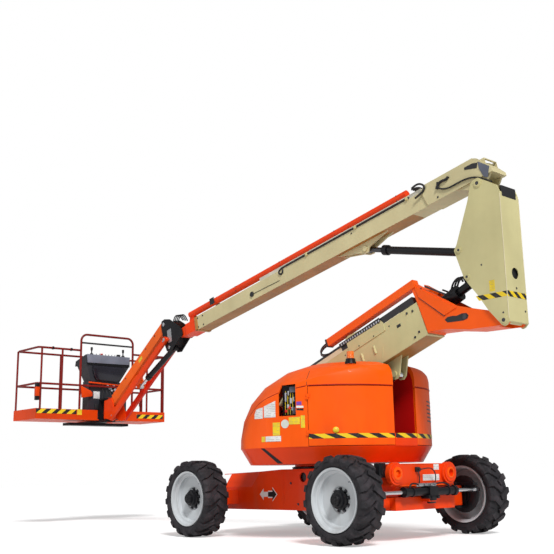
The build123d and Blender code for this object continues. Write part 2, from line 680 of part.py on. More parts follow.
def tower_fly():
    """Sliding tower section, its bent head with cheek plates, and the hose tube above."""
    s = TOWER
    w = TOWER_W - 2 * TOWER_WALL - 2 * TOWER_SLIDE_GAP
    h = TOWER_H - 2 * TOWER_WALL - 2 * TOWER_SLIDE_GAP
    shape = s.tube(900, TOWER_LEN + 40, 0, w, h, 12)
    # wear pads on the tail
    grow = 2 * (TOWER_SLIDE_GAP - PAD_FIT)
    shape += s.tube(900, 1060, 0, w + grow, h + grow, grow / 2 + 1)
    hw = TOWER_W / 2
    f = UPRIGHT_FOOT
    head = [
        s.at(TOWER_LEN + 10, -190), s.at(TOWER_LEN + 10, 200), s.at(TOWER_LEN - 2, 347),
        s.at(TOWER_LEN + 32, 441), (f[0] - 596, f[1] + 242), (f[0] - 421, f[1] + 190),
        (f[0] - 194, f[1] + 130), (f[0] - 22, f[1] + 53), (f[0] + 48, f[1]), (f[0] + 18, f[1] - 46),
        (f[0] - 440, f[1] - 36), (f[0] - 728, f[1] + 7), (f[0] - 974, f[1] + 13),
    ]
    body = prism_xz(head, -hw, hw)
    hollow = [
        s.at(TOWER_LEN, -140), s.at(TOWER_LEN, 150), (f[0] - 962, f[1] + 508), (f[0] - 582, f[1] + 408),
        (f[0] + 178, f[1] + 308), (f[0] + 178, f[1] - 152), (f[0] - 82, f[1] - 152), (f[0] - 122, f[1] + 8),
        (f[0] - 432, f[1] - 6), (f[0] - 724, f[1] + 37), (f[0] - 962, f[1] + 58),
    ]
    body -= prism_xz(hollow, -hw + 22, hw - 22)
    # slot in the crown: the upper cylinder drops into it when the tower is folded
    body -= block(f[0] - 1282, f[0] - 542, -CROWN_SLOT, CROWN_SLOT, f[1] + 308, f[1] + 708)
    shape = shape + body
    # hose tube on top of the base section, beside the crown slot
    yt = -CROWN_SLOT - 46
    tube = s.slab(TOWER_LEN - 1444, TOWER_LEN + 60, 364, 456, yt - 46, yt + 46)
    tube -= s.slab(TOWER_LEN - 1500, TOWER_LEN - 130, 372, 448, yt - 38, yt + 38)
    shape += tube
    foot_pin = s.at(2129, 1)
    shape += pin_y(foot_pin, PIN_R + 5, -w / 2 + 4, w / 2 - 4)
    for s2 in (-1, 1):
        y0, y1 = sorted((s2 * (hw - 30), s2 * hw))
        shape += pin_y(UPRIGHT_FOOT, 46, y0, y1)
    shape -= pin_y(UPRIGHT_FOOT, 32 + RUN_FIT, -200, 200)
    return shape


def cylinder_set(foot, eye, barrel_r, rod_r, gland_r, barrel_len, tail, foot_w, eye_w, foot_pin_r, eye_pin_r):
    """Barrel with a foot eye on its pin, and a rod whose eye carries its own pin."""
    line, dist = slant_between(foot, eye)

    def p(sv):
        x, z = line.at(sv, 0)
        return (x, 0, z)

    barrel = bar(p(foot_pin_r + 14), p(barrel_len - 70), barrel_r)
    barrel += bar(p(barrel_len - 70), p(barrel_len), gland_r)
    barrel += pin_y(foot, foot_pin_r + 24, -foot_w / 2, foot_w / 2)
    barrel += line.slab(0, foot_pin_r + 60, -barrel_r * 0.7, barrel_r * 0.7, -foot_w / 2, foot_w / 2)
    barrel -= pin_y(foot, foot_pin_r + RUN_FIT, -200, 200)
    barrel -= bar(p(foot_pin_r + 90), p(barrel_len + 10), rod_r + RUN_FIT)
    rod = bar(p(tail), p(dist - eye_pin_r - 4), rod_r)
    rod += pin_y(eye, eye_pin_r + 20, -eye_w / 2, eye_w / 2)
    rod += pin_y(eye, eye_pin_r, -eye_w / 2 - 4, eye_w / 2 + 4)
    return barrel, rod


# ---------------------------------------------------------------- upright
def upright_side():
    """Outline of the post's cheeks, drawn round its pins."""
    p, v, w, f, b = MAIN_PIVOT, LEVEL_TOP, LIFT_FOOT, UPRIGHT_FOOT, UPRIGHT_BACK
    return [
        (p[0] - 55, p[1] + 48), (p[0] + 9, p[1] + 61), (b - 32, p[1] - 76), (b - 6, p[1] - 154),
        (b, f[1] - 16), (f[0] + 28, f[1] - 52), (f[0] - 6, f[1] - 62), (f[0] - 32, f[1] - 42),
        (f[0] - 179, f[1] + 125), (v[0] + 128, v[1] - 230), (v[0] - 40, v[1] - 13), (w[0] - 65, w[1] + 6),
        (w[0] - 27, w[1] + 64), (p[0] - 144, p[1] - 168), (p[0] - 93, p[1] + 15),
    ]


def upright():
    """Tall folded post: two cheek plates joined by a back plate."""
    hw = UPRIGHT_W / 2
    w = hw - UPRIGHT_T
    back = UPRIGHT_BACK
    shape = prism_xz(upright_side(), -hw, hw)
    shape -= block(LIFT_FOOT[0] - 223, back - 9, -w, w, UPRIGHT_FOOT[1] - 192, MAIN_PIVOT[1] + 305)
    # round hole in the back plate
    shape -= bar((back - 85, 0, LEVEL_TOP[1] - 23), (back + 115, 0, LEVEL_TOP[1] - 23), 60)
    # stiffener web between the cheeks
    shape += block(back - 225, back - 5, -w - 2, w + 2, LEVEL_TOP[1] + 190, LEVEL_TOP[1] + 204)
    # pins
    shape += pin_y(UPRIGHT_FOOT, 32, -w - 2, w + 2)
    for s in (-1, 1):
        y0, y1 = sorted((s * 50, s * (w + 2)))
        shape += pin_y(LEVEL_TOP, 40, y0, y1)
    shape += pin_y(LIFT_FOOT, PIN_R + 5, -w - 2, w + 2)
    shape += pin_y(MAIN_PIVOT, 40, -w - 2, w + 2)
    for p, r in ((UPRIGHT_FOOT, 50), (LEVEL_TOP, 36), (LIFT_FOOT, 36), (MAIN_PIVOT, 46)):
        for s in (-1, 1):
            y0, y1 = sorted((s * (hw - 2), s * (hw + 8)))
            shape += pin_y(p, r, y0, y1)
    return shape


# ---------------------------------------------------------------- main boom
def main_boom():
    """Base section: box tube with rear housing, pivot ears and lift ears."""
    f = BOOM_FLOOR
    nc = f + BOOM_H / 2
    hw = BOOM_W / 2
    shape = BOOM.tube(-120, BOOM_LEN, nc, BOOM_W, BOOM_H, BOOM_WALL)
    # rear housing over the pivot
    outer = [(-186, f), (-186, 110), (-40, 292), (20, 322), (700, 322), (760, f + BOOM_H - 2),
             (700, f)]
    shell = prism_xz(BOOM.outline(outer), -hw - 18, hw + 18)
    inner = [(-170, f + 8), (-170, 104), (-34, 276), (24, 306), (690, 306), (730, 262), (690, f + 8)]
    shell -= prism_xz(BOOM.outline(inner), -hw + BOOM_WALL, hw - BOOM_WALL)
    shape = shape + shell
    shape -= BOOM.slab(-100, 640, f + BOOM_WALL, 306, -hw + BOOM_WALL, hw - BOOM_WALL)
    # pivot ears below the box
    ear = BOOM.outline([(-150, f + 6), (-60, -40), (-24, -62), (24, -62), (70, -40), (300, f + 6)])
    for y0, y1 in ((-hw, -hw + 26), (hw - 26, hw)):
        shape += prism_xz(ear, y0, y1)
    shape -= pin_y(MAIN_PIVOT, 40 + RUN_FIT, -200, 200)
    # lift ears
    e = LIFT_EYE
    foot = BOOM.outline([(1380, f + 2), (2250, f + 2)])
    ear = [foot[0], (e[0] + 62, e[1] + 10), (e[0] + 40, e[1] - 46), (e[0] - 30, e[1] - 54),
           (e[0] - 120, e[1] - 30), foot[1]]
    for y0, y1 in ((-60, -40), (40, 60)):
        shape += prism_xz(ear, y0, y1)
    for y0, y1 in ((-76, -60), (60, 76)):
        shape += pin_y(e, 32, y0, y1)
    # wear pads in the mouth
    iw = BOOM_W - 2 * BOOM_WALL + 2
    ih = BOOM_H - 2 * BOOM_WALL + 2
    shape += BOOM.tube(BOOM_LEN - 170, BOOM_LEN - 6, nc, iw, ih, BOOM_SLIDE_GAP - PAD_FIT + 1)
    return shape


LIFT_EYE = (780.0, 3343.0)


def boom_track():
    """Tray with the hose track along the top of the base section."""
    n = BOOM_FLOOR + BOOM_H
    return BOOM.slab(770, BOOM_LEN - 1510, n, n + 46, -BOOM_W / 2 + 3, -20)


def fly_boom():
    """Sliding section with a narrow nose, and the hose tube carried above the base."""
    nc = BOOM_FLOOR + BOOM_H / 2
    w = BOOM_W - 2 * BOOM_WALL - 2 * BOOM_SLIDE_GAP
    h = BOOM_H - 2 * BOOM_WALL - 2 * BOOM_SLIDE_GAP
    shape = BOOM.tube(1650, NOSE_U - 150, nc, w, h, 8)
    nose = BOOM.outline([(NOSE_U - 330, nc - h / 2), (NOSE_U - 330, nc + h / 2), (NOSE_U - 60, nc + 70),
                         (NOSE_U + 40, nc + 50), (NOSE_U + 62, nc), (NOSE_U + 40, nc - 50),
                         (NOSE_U - 60, nc - 70)])
    shape += prism_xz(nose, -JIB_W / 2, JIB_W / 2)
    shape -= pin_y(NOSE, 30 + RUN_FIT, -200, 200)
    # wear pads on the tail
    grow = 2 * (BOOM_SLIDE_GAP - PAD_FIT)
    shape += BOOM.tube(1650, 1790, nc, w + grow, h + grow, grow / 2 + 1)
    return shape


def hose_tube():
    """Round tube that carries the hoses over the boom, fixed to the fly's nose."""
    n = BOOM_FLOOR + BOOM_H + 105
    a = BOOM.at(1010, n)
    b = BOOM.at(NOSE_U - 240, n)
    shape = bar((a[0], -45, a[1]), (b[0], -45, b[1]), 48)
    shape += prism_xz(BOOM.outline([(NOSE_U - 340, 240), (NOSE_U - 340, n - 20), (NOSE_U - 240, n - 20),
                                    (NOSE_U - 200, 240)]), -62, -28)
    nc = BOOM_FLOOR + BOOM_H / 2
    h = BOOM_H - 2 * BOOM_WALL - 2 * BOOM_SLIDE_GAP
    cut = BOOM.slab(NOSE_U - 420, NOSE_U - 100, nc - h, nc + h / 2, -200, 200)
    return shape - cut


# ---------------------------------------------------------------- jib
def gooseneck():
    """Levelled head: two cheek plates from the fly's nose to the jib and link pins."""
    n, j, k, r = NOSE, JIB_TOP_PIN, LINK_TOP_PIN, JIB_RAM_FOOT
    cheek = [
        (n[0] + 62, n[1] - 20), (n[0] + 40, n[1] + 48), (n[0] - 30, n[1] + 110), (j[0] + 150, j[1] + 60),
        (j[0] + 20, j[1] + 77), (j[0] - 52, j[1] + 50), (j[0] - 62, j[1] - 35), (k[0] - 82, k[1] + 25),
        (k[0] - 62, k[1] - 45), (r[0] - 60, r[1] - 55), (r[0] + 40, r[1] - 59), (r[0] + 90, r[1] - 15),
        (n[0] - 20, n[1] - 62), (n[0] + 40, n[1] - 60),
    ]
    hj = JIB_W / 2 + SIDE_GAP
    shape = prism_xz(cheek, -hj - JIB_PLATE_T, -hj) + prism_xz(cheek, hj, hj + JIB_PLATE_T)
    shape += pin_y(NOSE, 30, -hj - 10, hj + 10)
    shape += pin_y(JIB_TOP_PIN, 30, -hj - 10, hj + 10)
    shape += pin_y(JIB_RAM_FOOT, 22, -hj - 10, hj + 10)
    yl = hj + JIB_PLATE_T + SIDE_GAP + LINK_W
    for s in (-1, 1):
        y0, y1 = sorted((s * (hj + 4), s * (yl + 6)))
        shape += pin_y(LINK_TOP_PIN, 20, y0, y1)
    return shape


def jib_arm():
    """Jib box beam with an eye at each end and ears for its ram."""
    h = JIB_H / 2
    shape = JIB.tube(70, JIB_LEN - 70, 0, JIB_W, JIB_H, 8)
    shape += JIB.slab(56, 80, -h, h, -JIB_W / 2, JIB_W / 2)
    shape += JIB.slab(JIB_LEN - 80, JIB_LEN - 56, -h, h, -JIB_W / 2, JIB_W / 2)
    for s0, pin in ((0, JIB_TOP_PIN), (JIB_LEN, JIB_LOW_PIN)):
        a, b = sorted((s0, s0 + (62 if s0 == 0 else -62)))
        shape += JIB.slab(a, b, -56, 56, -JIB_W / 2, JIB_W / 2)
        shape += pin_y(pin, 56, -JIB_W / 2, JIB_W / 2)
        shape -= pin_y(pin, 30 + RUN_FIT, -200, 200)
    e = JIB_RAM_EYE
    ear = [JIB.at(1060, -h + 1), (e[0] + 44, e[1] + 16), (e[0] + 24, e[1] - 34), (e[0] - 24, e[1] - 36),
           (e[0] - 50, e[1]), JIB.at(1330, -h + 1)]
    for y0, y1 in ((-52, -36), (36, 52)):
        shape += prism_xz(ear, y0, y1)
    return shape


def jib_link(s):
    """Levelling link beside the jib's lower line."""
    hj = JIB_W / 2 + SIDE_GAP + JIB_PLATE_T + SIDE_GAP
    y0, y1 = sorted((s * hj, s * (hj + LINK_W)))
    line, dist = slant_between(LINK_TOP_PIN, LINK_LOW_PIN)
    shape = line.slab(0, dist, -LINK_H / 2, LINK_H / 2, y0, y1)
    for p in (LINK_TOP_PIN, LINK_LOW_PIN):
        shape += pin_y(p, LINK_H / 2, y0, y1)
    for p in (LINK_TOP_PIN, LINK_LOW_PIN):
        shape -= pin_y(p, 20 + RUN_FIT, -300, 300)
    return shape


# ---------------------------------------------------------------- platform
def platform_support():
    """Levelled carrier below the jib with the rotator's fixed drum."""
    hj = JIB_W / 2 + SIDE_GAP
    a, b = JIB_LOW_PIN, LINK_LOW_PIN
    x = ROTATOR_X
    z = PLATFORM_Z
    cheek = [(a[0] + 62, a[1] + 10), (a[0] + 30, a[1] + 56), (a[0] - 40, a[1] + 56), (x + 20, z + 295),
             (x + 20, z + 28), (b[0] - 30, b[1] - 60), (b[0] + 50, b[1] - 40), (b[0] + 62, b[1] + 20)]
    shape = prism_xz(cheek, -hj - JIB_PLATE_T, -hj) + prism_xz(cheek, hj, hj + JIB_PLATE_T)
    shape += block(x - 40, x + 60, -hj - 2, hj + 2, z + 20, z + 300)
    shape += bar((x, 0, z + 10), (x, 0, z + 310), ROTATOR_R)
    shape += pin_y(a, 30, -hj - 10, hj + 10)
    for s in (-1, 1):
        y0, y1 = sorted((s * (hj + 4), s * (hj + JIB_PLATE_T + SIDE_GAP + LINK_W + 6)))
        shape += pin_y(b, 20, y0, y1)
    shape += bar((x, 0, z - 48), (x, 0, z + 12), 45)
    shape += bar((x, 0, z + 308), (x, 0, z + 358), 45)
    return shape


def platform_mount():
    """Turning yoke: arms over and under the rotator, and beams below the floor."""
    x = ROTATOR_X
    r = 45 + RUN_FIT
    z = PLATFORM_Z
    shape = bar((x, 0, z - 40), (x, 0, z + 4), 90)
    shape += block(PLATFORM_NEAR - PLATFORM_DEPTH + 60, x, -90, 90, z - 40, z)
    shape += block(PLATFORM_NEAR - 330, PLATFORM_NEAR - 120, -560, 560, z - 80, z - 39)
    shape += bar((x, 0, z + 322), (x, 0, z + 350), 90)
    shape += block(PLATFORM_NEAR + 8, x, -90, 90, z + 322, z + 350)
    shape += block(PLATFORM_NEAR, PLATFORM_NEAR + 24, -90, 90, z - 40, z + 350)
    shape -= bar((x, 0, z - 50), (x, 0, z + 370), r)
    return shape


def toe_ring():
    """Folded edge around the floor, open at the middle of the near side."""
    x1, x0 = PLATFORM_NEAR, PLATFORM_NEAR - PLATFORM_DEPTH
    y = PLATFORM_HALF
    z0, z1 = PLATFORM_Z, PLATFORM_Z + TOE_H
    ring = block(x0, x1, -y, y, z0, z1) - block(x0 + 4, x1 - 4, -y + 4, y - 4, z0 - 1, z1 + 1)
    ring -= block(x1 - 30, x1 + 30, TOE_GAP_Y[0], TOE_GAP_Y[1], z0 - 1, z1 + 1)
    ring -= block(x0 - 30, x1 - 38, y - 30, y + 30, z0 + 16, z1 + 1)
    return ring


def platform_floor():
    """Floor plate with its toe boards."""
    x1, x0 = PLATFORM_NEAR, PLATFORM_NEAR - PLATFORM_DEPTH
    y = PLATFORM_HALF
    floor = block(x0, x1, -y, y, PLATFORM_Z, PLATFORM_Z + 16)
    return floor + toe_ring()


def pipe(points, r=RAIL_R, bend=45.0):
    """Round tube swept along bent runs, drawn solid."""
    pts = [Vector(*p) for p in points]
    start = pts[0]
    shape = None
    for i in range(1, len(pts)):
        d1 = (pts[i] - pts[i - 1]).normalized()
        if i == len(pts) - 1:
            run = bar(tuple(start), tuple(pts[i]), r)
            return run if shape is None else shape + run
        d2 = (pts[i + 1] - pts[i]).normalized()
        turn = math.acos(max(-1.0, min(1.0, d1.dot(d2))))
        cut = bend * math.tan(turn / 2)
        a = pts[i] - d1 * cut
        axis = d1.cross(d2).normalized()
        centre = a + axis.cross(d1) * bend
        run = bar(tuple(start), tuple(a), r)
        ring = Plane(origin=a, z_dir=d1) * Circle(r)
        elbow = revolve(ring, axis=Axis(tuple(centre), tuple(axis)), revolution_arc=math.degrees(turn))
        shape = run + elbow if shape is None else shape + run + elbow
        start = pts[i] + d2 * cut
    return shape


def platform_rails():
    """Guard rails: top and middle rails round three sides, on posts."""
    x1, x0 = PLATFORM_NEAR - 22, PLATFORM_NEAR - PLATFORM_DEPTH + 22
    y = PLATFORM_HALF - 22
    z0 = PLATFORM_Z + 16
    left, right = HOOP_Y
    parts = []
    for z in (TOP_RAIL, MID_RAIL):
        parts.append(pipe([(x1, left - RAIL_R - 1.3, z), (x1, -y, z), (x0, -y, z), (x0, y, z)]))
    posts = [(x1, -y + 60), (x0, -y), (x0, y), (x1, -774), (x0, -420), (x0, 420)]
    for px, py in posts:
        parts.append(bar((px, py, z0), (px, py, TOP_RAIL), RAIL_R - 1))
    shape = parts[0]
    return shape + parts[1:]


def platform_hoop():
    """Loop over the console with the short rails on its gate side."""
    x1 = PLATFORM_NEAR - 22
    y = PLATFORM_HALF - 22
    z0 = PLATFORM_Z + 16
    left, right = HOOP_Y
    parts = [
        pipe([(x1, left, z0), (x1, left, HOOP_TOP), (x1, right, HOOP_TOP), (x1, right, z0)], RAIL_R + 1, 110),
        pipe([(x1, left, MID_RAIL), (x1, y, MID_RAIL)]),
        pipe([(x1, right, TOP_RAIL), (x1, y, TOP_RAIL)]),
        bar((x1, left, HOOP_TOP - 140), (x1, right, HOOP_TOP - 140), RAIL_R - 4),
    ]
    for py in (y, 860):
        parts.append(bar((x1, py, z0), (x1, py, TOP_RAIL), RAIL_R - 1))
    shape = parts[0]
    return shape + parts[1:]


GATE_GAP = 42.0


def platform_gate():
    """Entry gate in the end of the platform, hung on the far corner post."""
    x1, x0 = PLATFORM_NEAR - 22, PLATFORM_NEAR - PLATFORM_DEPTH + 22
    y = PLATFORM_HALF - 22
    a, b = x0 + GATE_GAP, x1 - GATE_GAP
    parts = [
        pipe([(a, y, PLATFORM_Z + 40), (a, y, TOP_RAIL), (b, y, TOP_RAIL), (b, y, PLATFORM_Z + 40)]),
        pipe([(a, y, MID_RAIL), (b, y, MID_RAIL)]),
        block(a - 10, b + 10, y - 8, y + 8, PLATFORM_Z + 30, PLATFORM_Z + TOE_H),
    ]
    post = RAIL_R - 1
    for z0, z1 in ((MID_RAIL + 100, MID_RAIL + 160), (MID_RAIL - 240, MID_RAIL - 180)):
        parts.append(block(x0 + post + 4, a, y - 8, y + 8, z0, z1))
        parts.append(Pos(x0, y, (z0 + z1) / 2) * Cylinder(post + 10, z1 - z0))
    shape = parts[0] + parts[1:]
    return shape - bar((x0, y, PLATFORM_Z), (x0, y, TOP_RAIL), post + RUN_FIT)


def control_console():
    """Console on the near rail: sloping tray, tapering bowl and cabinet."""
    x1 = PLATFORM_NEAR - 22
    left, right = CONSOLE_Y
    top = TOP_RAIL
    side = [(x1 - 26, top - 219), (x1 - 26, top - 53), (x1 - 60, top - 53), (x1 - 380, top - 135),
            (x1 - 400, top - 219)]
    shape = prism_xz(side, left, right)
    rows = ((top - 215, 30, 345, left + 8, right - 8), (top - 495, 30, 250, left + 95, right - 200))
    faces = []
    for z, front, back, ya, yb in rows:
        centre = (x1 - (front + back) / 2, (ya + yb) / 2, z)
        faces.append(Plane(origin=centre) * Rectangle(back - front, yb - ya))
    shape += loft(faces)
    shape += block(x1 - 230, x1 - 34, left + 64, right - 50, PLATFORM_Z + 16, top - 491)
    return shape


# ---------------------------------------------------------------- write
def main():
    """Build and write every piece."""
    t = tyre()
    r = rim()
    h = hub()
    for name, sx, sy in (("front_left", 1, -1), ("front_right", 1, 1), ("rear_left", -1, -1),
                         ("rear_right", -1, 1)):
        place = wheel_place(sx, sy)
        save(f"tyre_{name}", place * t)
        save(f"rim_{name}", place * r)
        save(f"hub_{name}", place * h)
    save("chassis_frame", chassis_frame())
    save("axle_fixed", axle_fixed())
    save("axle_steer", axle_steer())
    save("steer_cylinder", steer_cylinder())
    save("steer_rod", steer_rod())
    save("knuckle_left", knuckle(-1))
    save("knuckle_right", knuckle(1))
    save("turntable_frame", turntable_frame())
    save("counterweight", counterweight())
    save("hood_left", hood(-1))
    save("hood_right", hood(1))
    save("door_left", hood_door(-1))
    save("door_right", hood_door(1))
    save("engine_block", engine_block())
    save("ground_control", ground_control())
    save("beacon", beacon())
    save("tower_base", tower_base())
    save("tower_track", tower_track())
    save("tower_fly", tower_fly())
    barrel, rod = cylinder_set(TOWER_RAM_FOOT, TOWER_RAM_EYE, 70, 42, 82, 1330, 560, 90, 80, PIN_R + 5, 28)
    save("tower_ram_barrel", barrel)
    save("tower_ram_rod", rod)
    barrel, rod = cylinder_set(TOWER.at(2129, 1), LEVEL_TOP, 85, 48, 90, 960, 340, 90, 80, PIN_R + 5, 28)
    save("level_ram_barrel", barrel)
    save("level_ram_rod", rod)
    save("upright", upright())
    save("main_boom", main_boom())
    save("boom_track", boom_track())
    barrel, rod = cylinder_set(LIFT_FOOT, LIFT_EYE, 46, 30, 62, 1230, 215, 70, 68, PIN_R + 5, 24)
    save("lift_ram_barrel", barrel)
    save("lift_ram_rod", rod)
    save("fly_boom", fly_boom())
    save("hose_tube", hose_tube())
    save("gooseneck", gooseneck())
    save("jib_arm", jib_arm())
    save("jib_link_left", jib_link(-1))
    save("jib_link_right", jib_link(1))
    barrel, rod = cylinder_set(JIB_RAM_FOOT, JIB_RAM_EYE, 42, 24, 48, 820, 250, 60, 60, 22, 20)
    save("jib_ram_barrel", barrel)
    save("jib_ram_rod", rod)
    save("platform_support", platform_support())
    save("platform_mount", platform_mount())
    save("platform_floor", platform_floor())
    save("platform_rails", platform_rails())
    save("platform_hoop", platform_hoop())
    save("platform_gate", platform_gate())
    save("control_console", control_console())


if __name__ == "__main__":
    main()
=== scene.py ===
"""Looks of the articulating boom lift: paint, tyres, trim, hoses, controls, floor, light and camera."""
from __future__ import annotations

import json
import logging
import math
from dataclasses import dataclass, replace
from enum import Enum
from typing import Iterable, Optional, Sequence

import bmesh
import bpy
from mathutils import Matrix, Vector
from mathutils.bvhtree import BVHTree

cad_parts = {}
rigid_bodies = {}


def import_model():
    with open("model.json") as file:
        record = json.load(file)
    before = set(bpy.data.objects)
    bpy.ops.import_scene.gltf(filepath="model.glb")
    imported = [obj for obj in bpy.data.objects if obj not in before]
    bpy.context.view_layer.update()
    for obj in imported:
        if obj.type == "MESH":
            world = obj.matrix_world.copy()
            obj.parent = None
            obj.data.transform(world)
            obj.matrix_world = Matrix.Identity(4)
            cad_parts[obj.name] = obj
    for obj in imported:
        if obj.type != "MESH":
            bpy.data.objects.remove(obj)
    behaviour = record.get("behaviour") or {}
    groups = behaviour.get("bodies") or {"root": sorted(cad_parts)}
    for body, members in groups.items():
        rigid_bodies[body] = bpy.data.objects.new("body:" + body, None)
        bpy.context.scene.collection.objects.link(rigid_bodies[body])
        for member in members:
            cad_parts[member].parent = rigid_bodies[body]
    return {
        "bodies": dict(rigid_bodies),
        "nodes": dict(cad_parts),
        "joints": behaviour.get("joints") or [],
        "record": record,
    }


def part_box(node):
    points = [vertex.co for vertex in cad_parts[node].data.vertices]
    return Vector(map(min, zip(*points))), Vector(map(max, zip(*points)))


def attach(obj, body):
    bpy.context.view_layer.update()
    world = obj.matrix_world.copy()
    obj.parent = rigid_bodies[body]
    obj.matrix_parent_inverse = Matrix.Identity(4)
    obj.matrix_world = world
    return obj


LOG = logging.getLogger("boom_lift")
Colour = tuple[float, float, float]
Point = tuple[float, float, float]


# ---------------------------------------------------------------- choices
class Side(Enum):
    """Flank of the machine, as the sign of Y."""

    LEFT = -1
    RIGHT = 1


class Weave(Enum):
    """Which way the dark bars of a warning band lean."""

    FORWARD = 1
    BACK = -1


# ---------------------------------------------------------------- material graphs
class Graph:
    """Short hand for a node tree that ends in one principled shader."""

    def __init__(self, name: str) -> None:
        """Start an empty material.

        Args:
            name: Name of the material.
        """
        self.material = bpy.data.materials.new(name)
        self.material.use_nodes = True
        self.tree = self.material.node_tree
        self.tree.nodes.clear()
        self.out = self.tree.nodes.new("ShaderNodeOutputMaterial")
        self.shader = self.tree.nodes.new("ShaderNodeBsdfPrincipled")
        self.join(self.shader.outputs[0], self.out.inputs[0])
        self.coords = self.tree.nodes.new("ShaderNodeTexCoord")

    def join(self, source: bpy.types.NodeSocket, target: bpy.types.NodeSocket) -> None:
        """Link two sockets."""
        self.tree.links.new(source, target)

    def feed(self, target: bpy.types.NodeSocket, value: object) -> None:
        """Put a number, a colour or another node's output into a socket.

        Args:
            target: Socket to fill.
            value: Socket, number or tuple.
        """
        if isinstance(value, bpy.types.NodeSocket):
            self.join(value, target)
        elif isinstance(value, tuple) and len(value) == 3 and target.type == "RGBA":
            target.default_value = (*value, 1.0)
        else:
            target.default_value = value

    def maths(self, operation: str, *values: object) -> bpy.types.NodeSocket:
        """Add a Math node.

        Args:
            operation: Blender's name of the operation.
            values: Its inputs in order.

        Returns:
            The node's output.
        """
        node = self.tree.nodes.new("ShaderNodeMath")
        node.operation = operation
        for i, value in enumerate(values):
            self.feed(node.inputs[i], value)
        return node.outputs[0]

    def noise(self, scale: float, detail: float = 3.0, roughness: float = 0.55,
              stretch: Point = (1.0, 1.0, 1.0)) -> bpy.types.NodeSocket:
        """Add noise on Object coordinates.

        Args:
            scale: Lumps per metre.
            detail: Octaves.
            roughness: Weight of the fine octaves.
            stretch: Scale of each axis.

        Returns:
            The noise value.
        """
        mapping = self.tree.nodes.new("ShaderNodeMapping")
        mapping.inputs["Scale"].default_value = stretch
        self.join(self.coords.outputs["Object"], mapping.inputs["Vector"])
        node = self.tree.nodes.new("ShaderNodeTexNoise")
        node.inputs["Scale"].default_value = scale
        node.inputs["Detail"].default_value = detail
        node.inputs["Roughness"].default_value = roughness
        self.join(mapping.outputs[0], node.inputs["Vector"])
        return node.outputs["Fac"]

    def axes(self) -> tuple[bpy.types.NodeSocket, bpy.types.NodeSocket, bpy.types.NodeSocket]:
        """Split the Object coordinates into X, Y and Z."""
        node = self.tree.nodes.new("ShaderNodeSeparateXYZ")
        self.join(self.coords.outputs["Object"], node.inputs[0])
        return node.outputs[0], node.outputs[1], node.outputs[2]

    def ramp(self, value: object, low: float, high: float, bottom: float = 0.0,
             top: float = 1.0) -> bpy.types.NodeSocket:
        """Map a range of a value onto another range, clamped.

        Args:
            value: The value.
            low: Start of its range.
            high: End of its range.
            bottom: Result at the start.
            top: Result at the end.

        Returns:
            The mapped value.
        """
        node = self.tree.nodes.new("ShaderNodeMapRange")
        for socket, item in zip(("Value", "From Min", "From Max", "To Min", "To Max"),
                                (value, low, high, bottom, top)):
            self.feed(node.inputs[socket], item)
        return node.outputs[0]

    def blend(self, factor: object, first: object, second: object) -> bpy.types.NodeSocket:
        """Mix two colours.

        Args:
            factor: Share of the second.
            first: Colour at 0.
            second: Colour at 1.

        Returns:
            The mixed colour.
        """
        node = self.tree.nodes.new("ShaderNodeMix")
        node.data_type = "RGBA"
        self.feed(node.inputs["Factor"], factor)
        self.feed(node.inputs[6], first)
        self.feed(node.inputs[7], second)
        return node.outputs[2]

    def bump(self, height: object, strength: float, distance: float) -> None:
        """Lift the surface by a height value.

        Args:
            height: Height, 0 to 1.
            strength: Strength of the node.
            distance: Real height in metres.
        """
        node = self.tree.nodes.new("ShaderNodeBump")
        node.inputs["Strength"].default_value = strength
        node.inputs["Distance"].default_value = distance
        self.feed(node.inputs["Height"], height)
        self.join(node.outputs[0], self.shader.inputs["Normal"])

    def colour(self, value: object) -> None:
        """Set the base colour."""
        self.feed(self.shader.inputs["Base Color"], value)

    def rough(self, value: object) -> None:
        """Set the roughness."""
        self.feed(self.shader.inputs["Roughness"], value)


def shade(colour: Colour, factor: float) -> Colour:
    """Colour scaled towards black or up."""
    return tuple(min(1.0, c * factor) for c in colour)


@dataclass(frozen=True)
class Finish:
    """A surface finish that makes its own material once."""

    name: str
    colour: Colour
    roughness: float = 0.5
    slot: str = "orange"

    def material(self) -> bpy.types.Material:
        """The finish's material, built on first use."""
        found = bpy.data.materials.get(self.name)
        return found if found else self.build()

    def build(self) -> bpy.types.Material:
        """Make the material."""
        raise NotImplementedError


@dataclass(frozen=True)
class Paint(Finish):
    """Sprayed enamel with faded patches, a second colour blended in low down (road dust on most paints,
    painted shade on the orange) and fine orange peel.
    """

    coat: float = 0.25
    patch: float = 0.1
    dust_and_shade: float = 0.2
    dust_and_shade_top: float = 0.9
    dust_and_shade_colour: Colour = (0.28, 0.2, 0.14)

    def build(self) -> bpy.types.Material:
        """Make the material."""
        g = Graph(self.name)
        cloud = g.noise(1.6, 4.0)
        tone = g.blend(g.ramp(cloud, 0.35, 0.65), shade(self.colour, 1.0 - self.patch),
                       shade(self.colour, 1.0 + self.patch))
        streak = g.noise(5.0, 4.0, 0.6, (1.0, 1.0, 0.18))
        _, _, z = g.axes()
        # Blend towards the second colour, stronger low down: road dust on most paints; on the orange it is a
        # darker red, painted shade.
        low = g.maths("MULTIPLY", g.ramp(z, 0.25, self.dust_and_shade_top, 1.0, 0.12), g.ramp(streak, 0.45, 0.75))
        g.colour(g.blend(g.maths("MULTIPLY", low, self.dust_and_shade), tone, self.dust_and_shade_colour))
        g.rough(g.ramp(g.noise(7.0, 3.0), 0.3, 0.7, self.roughness - 0.06, self.roughness + 0.1))
        g.shader.inputs["Coat Weight"].default_value = self.coat
        g.shader.inputs["Coat Roughness"].default_value = 0.12
        g.shader.inputs["Specular IOR Level"].default_value = 0.2
        g.bump(g.noise(160.0, 2.0), 0.12, 0.0006)
        return g.material


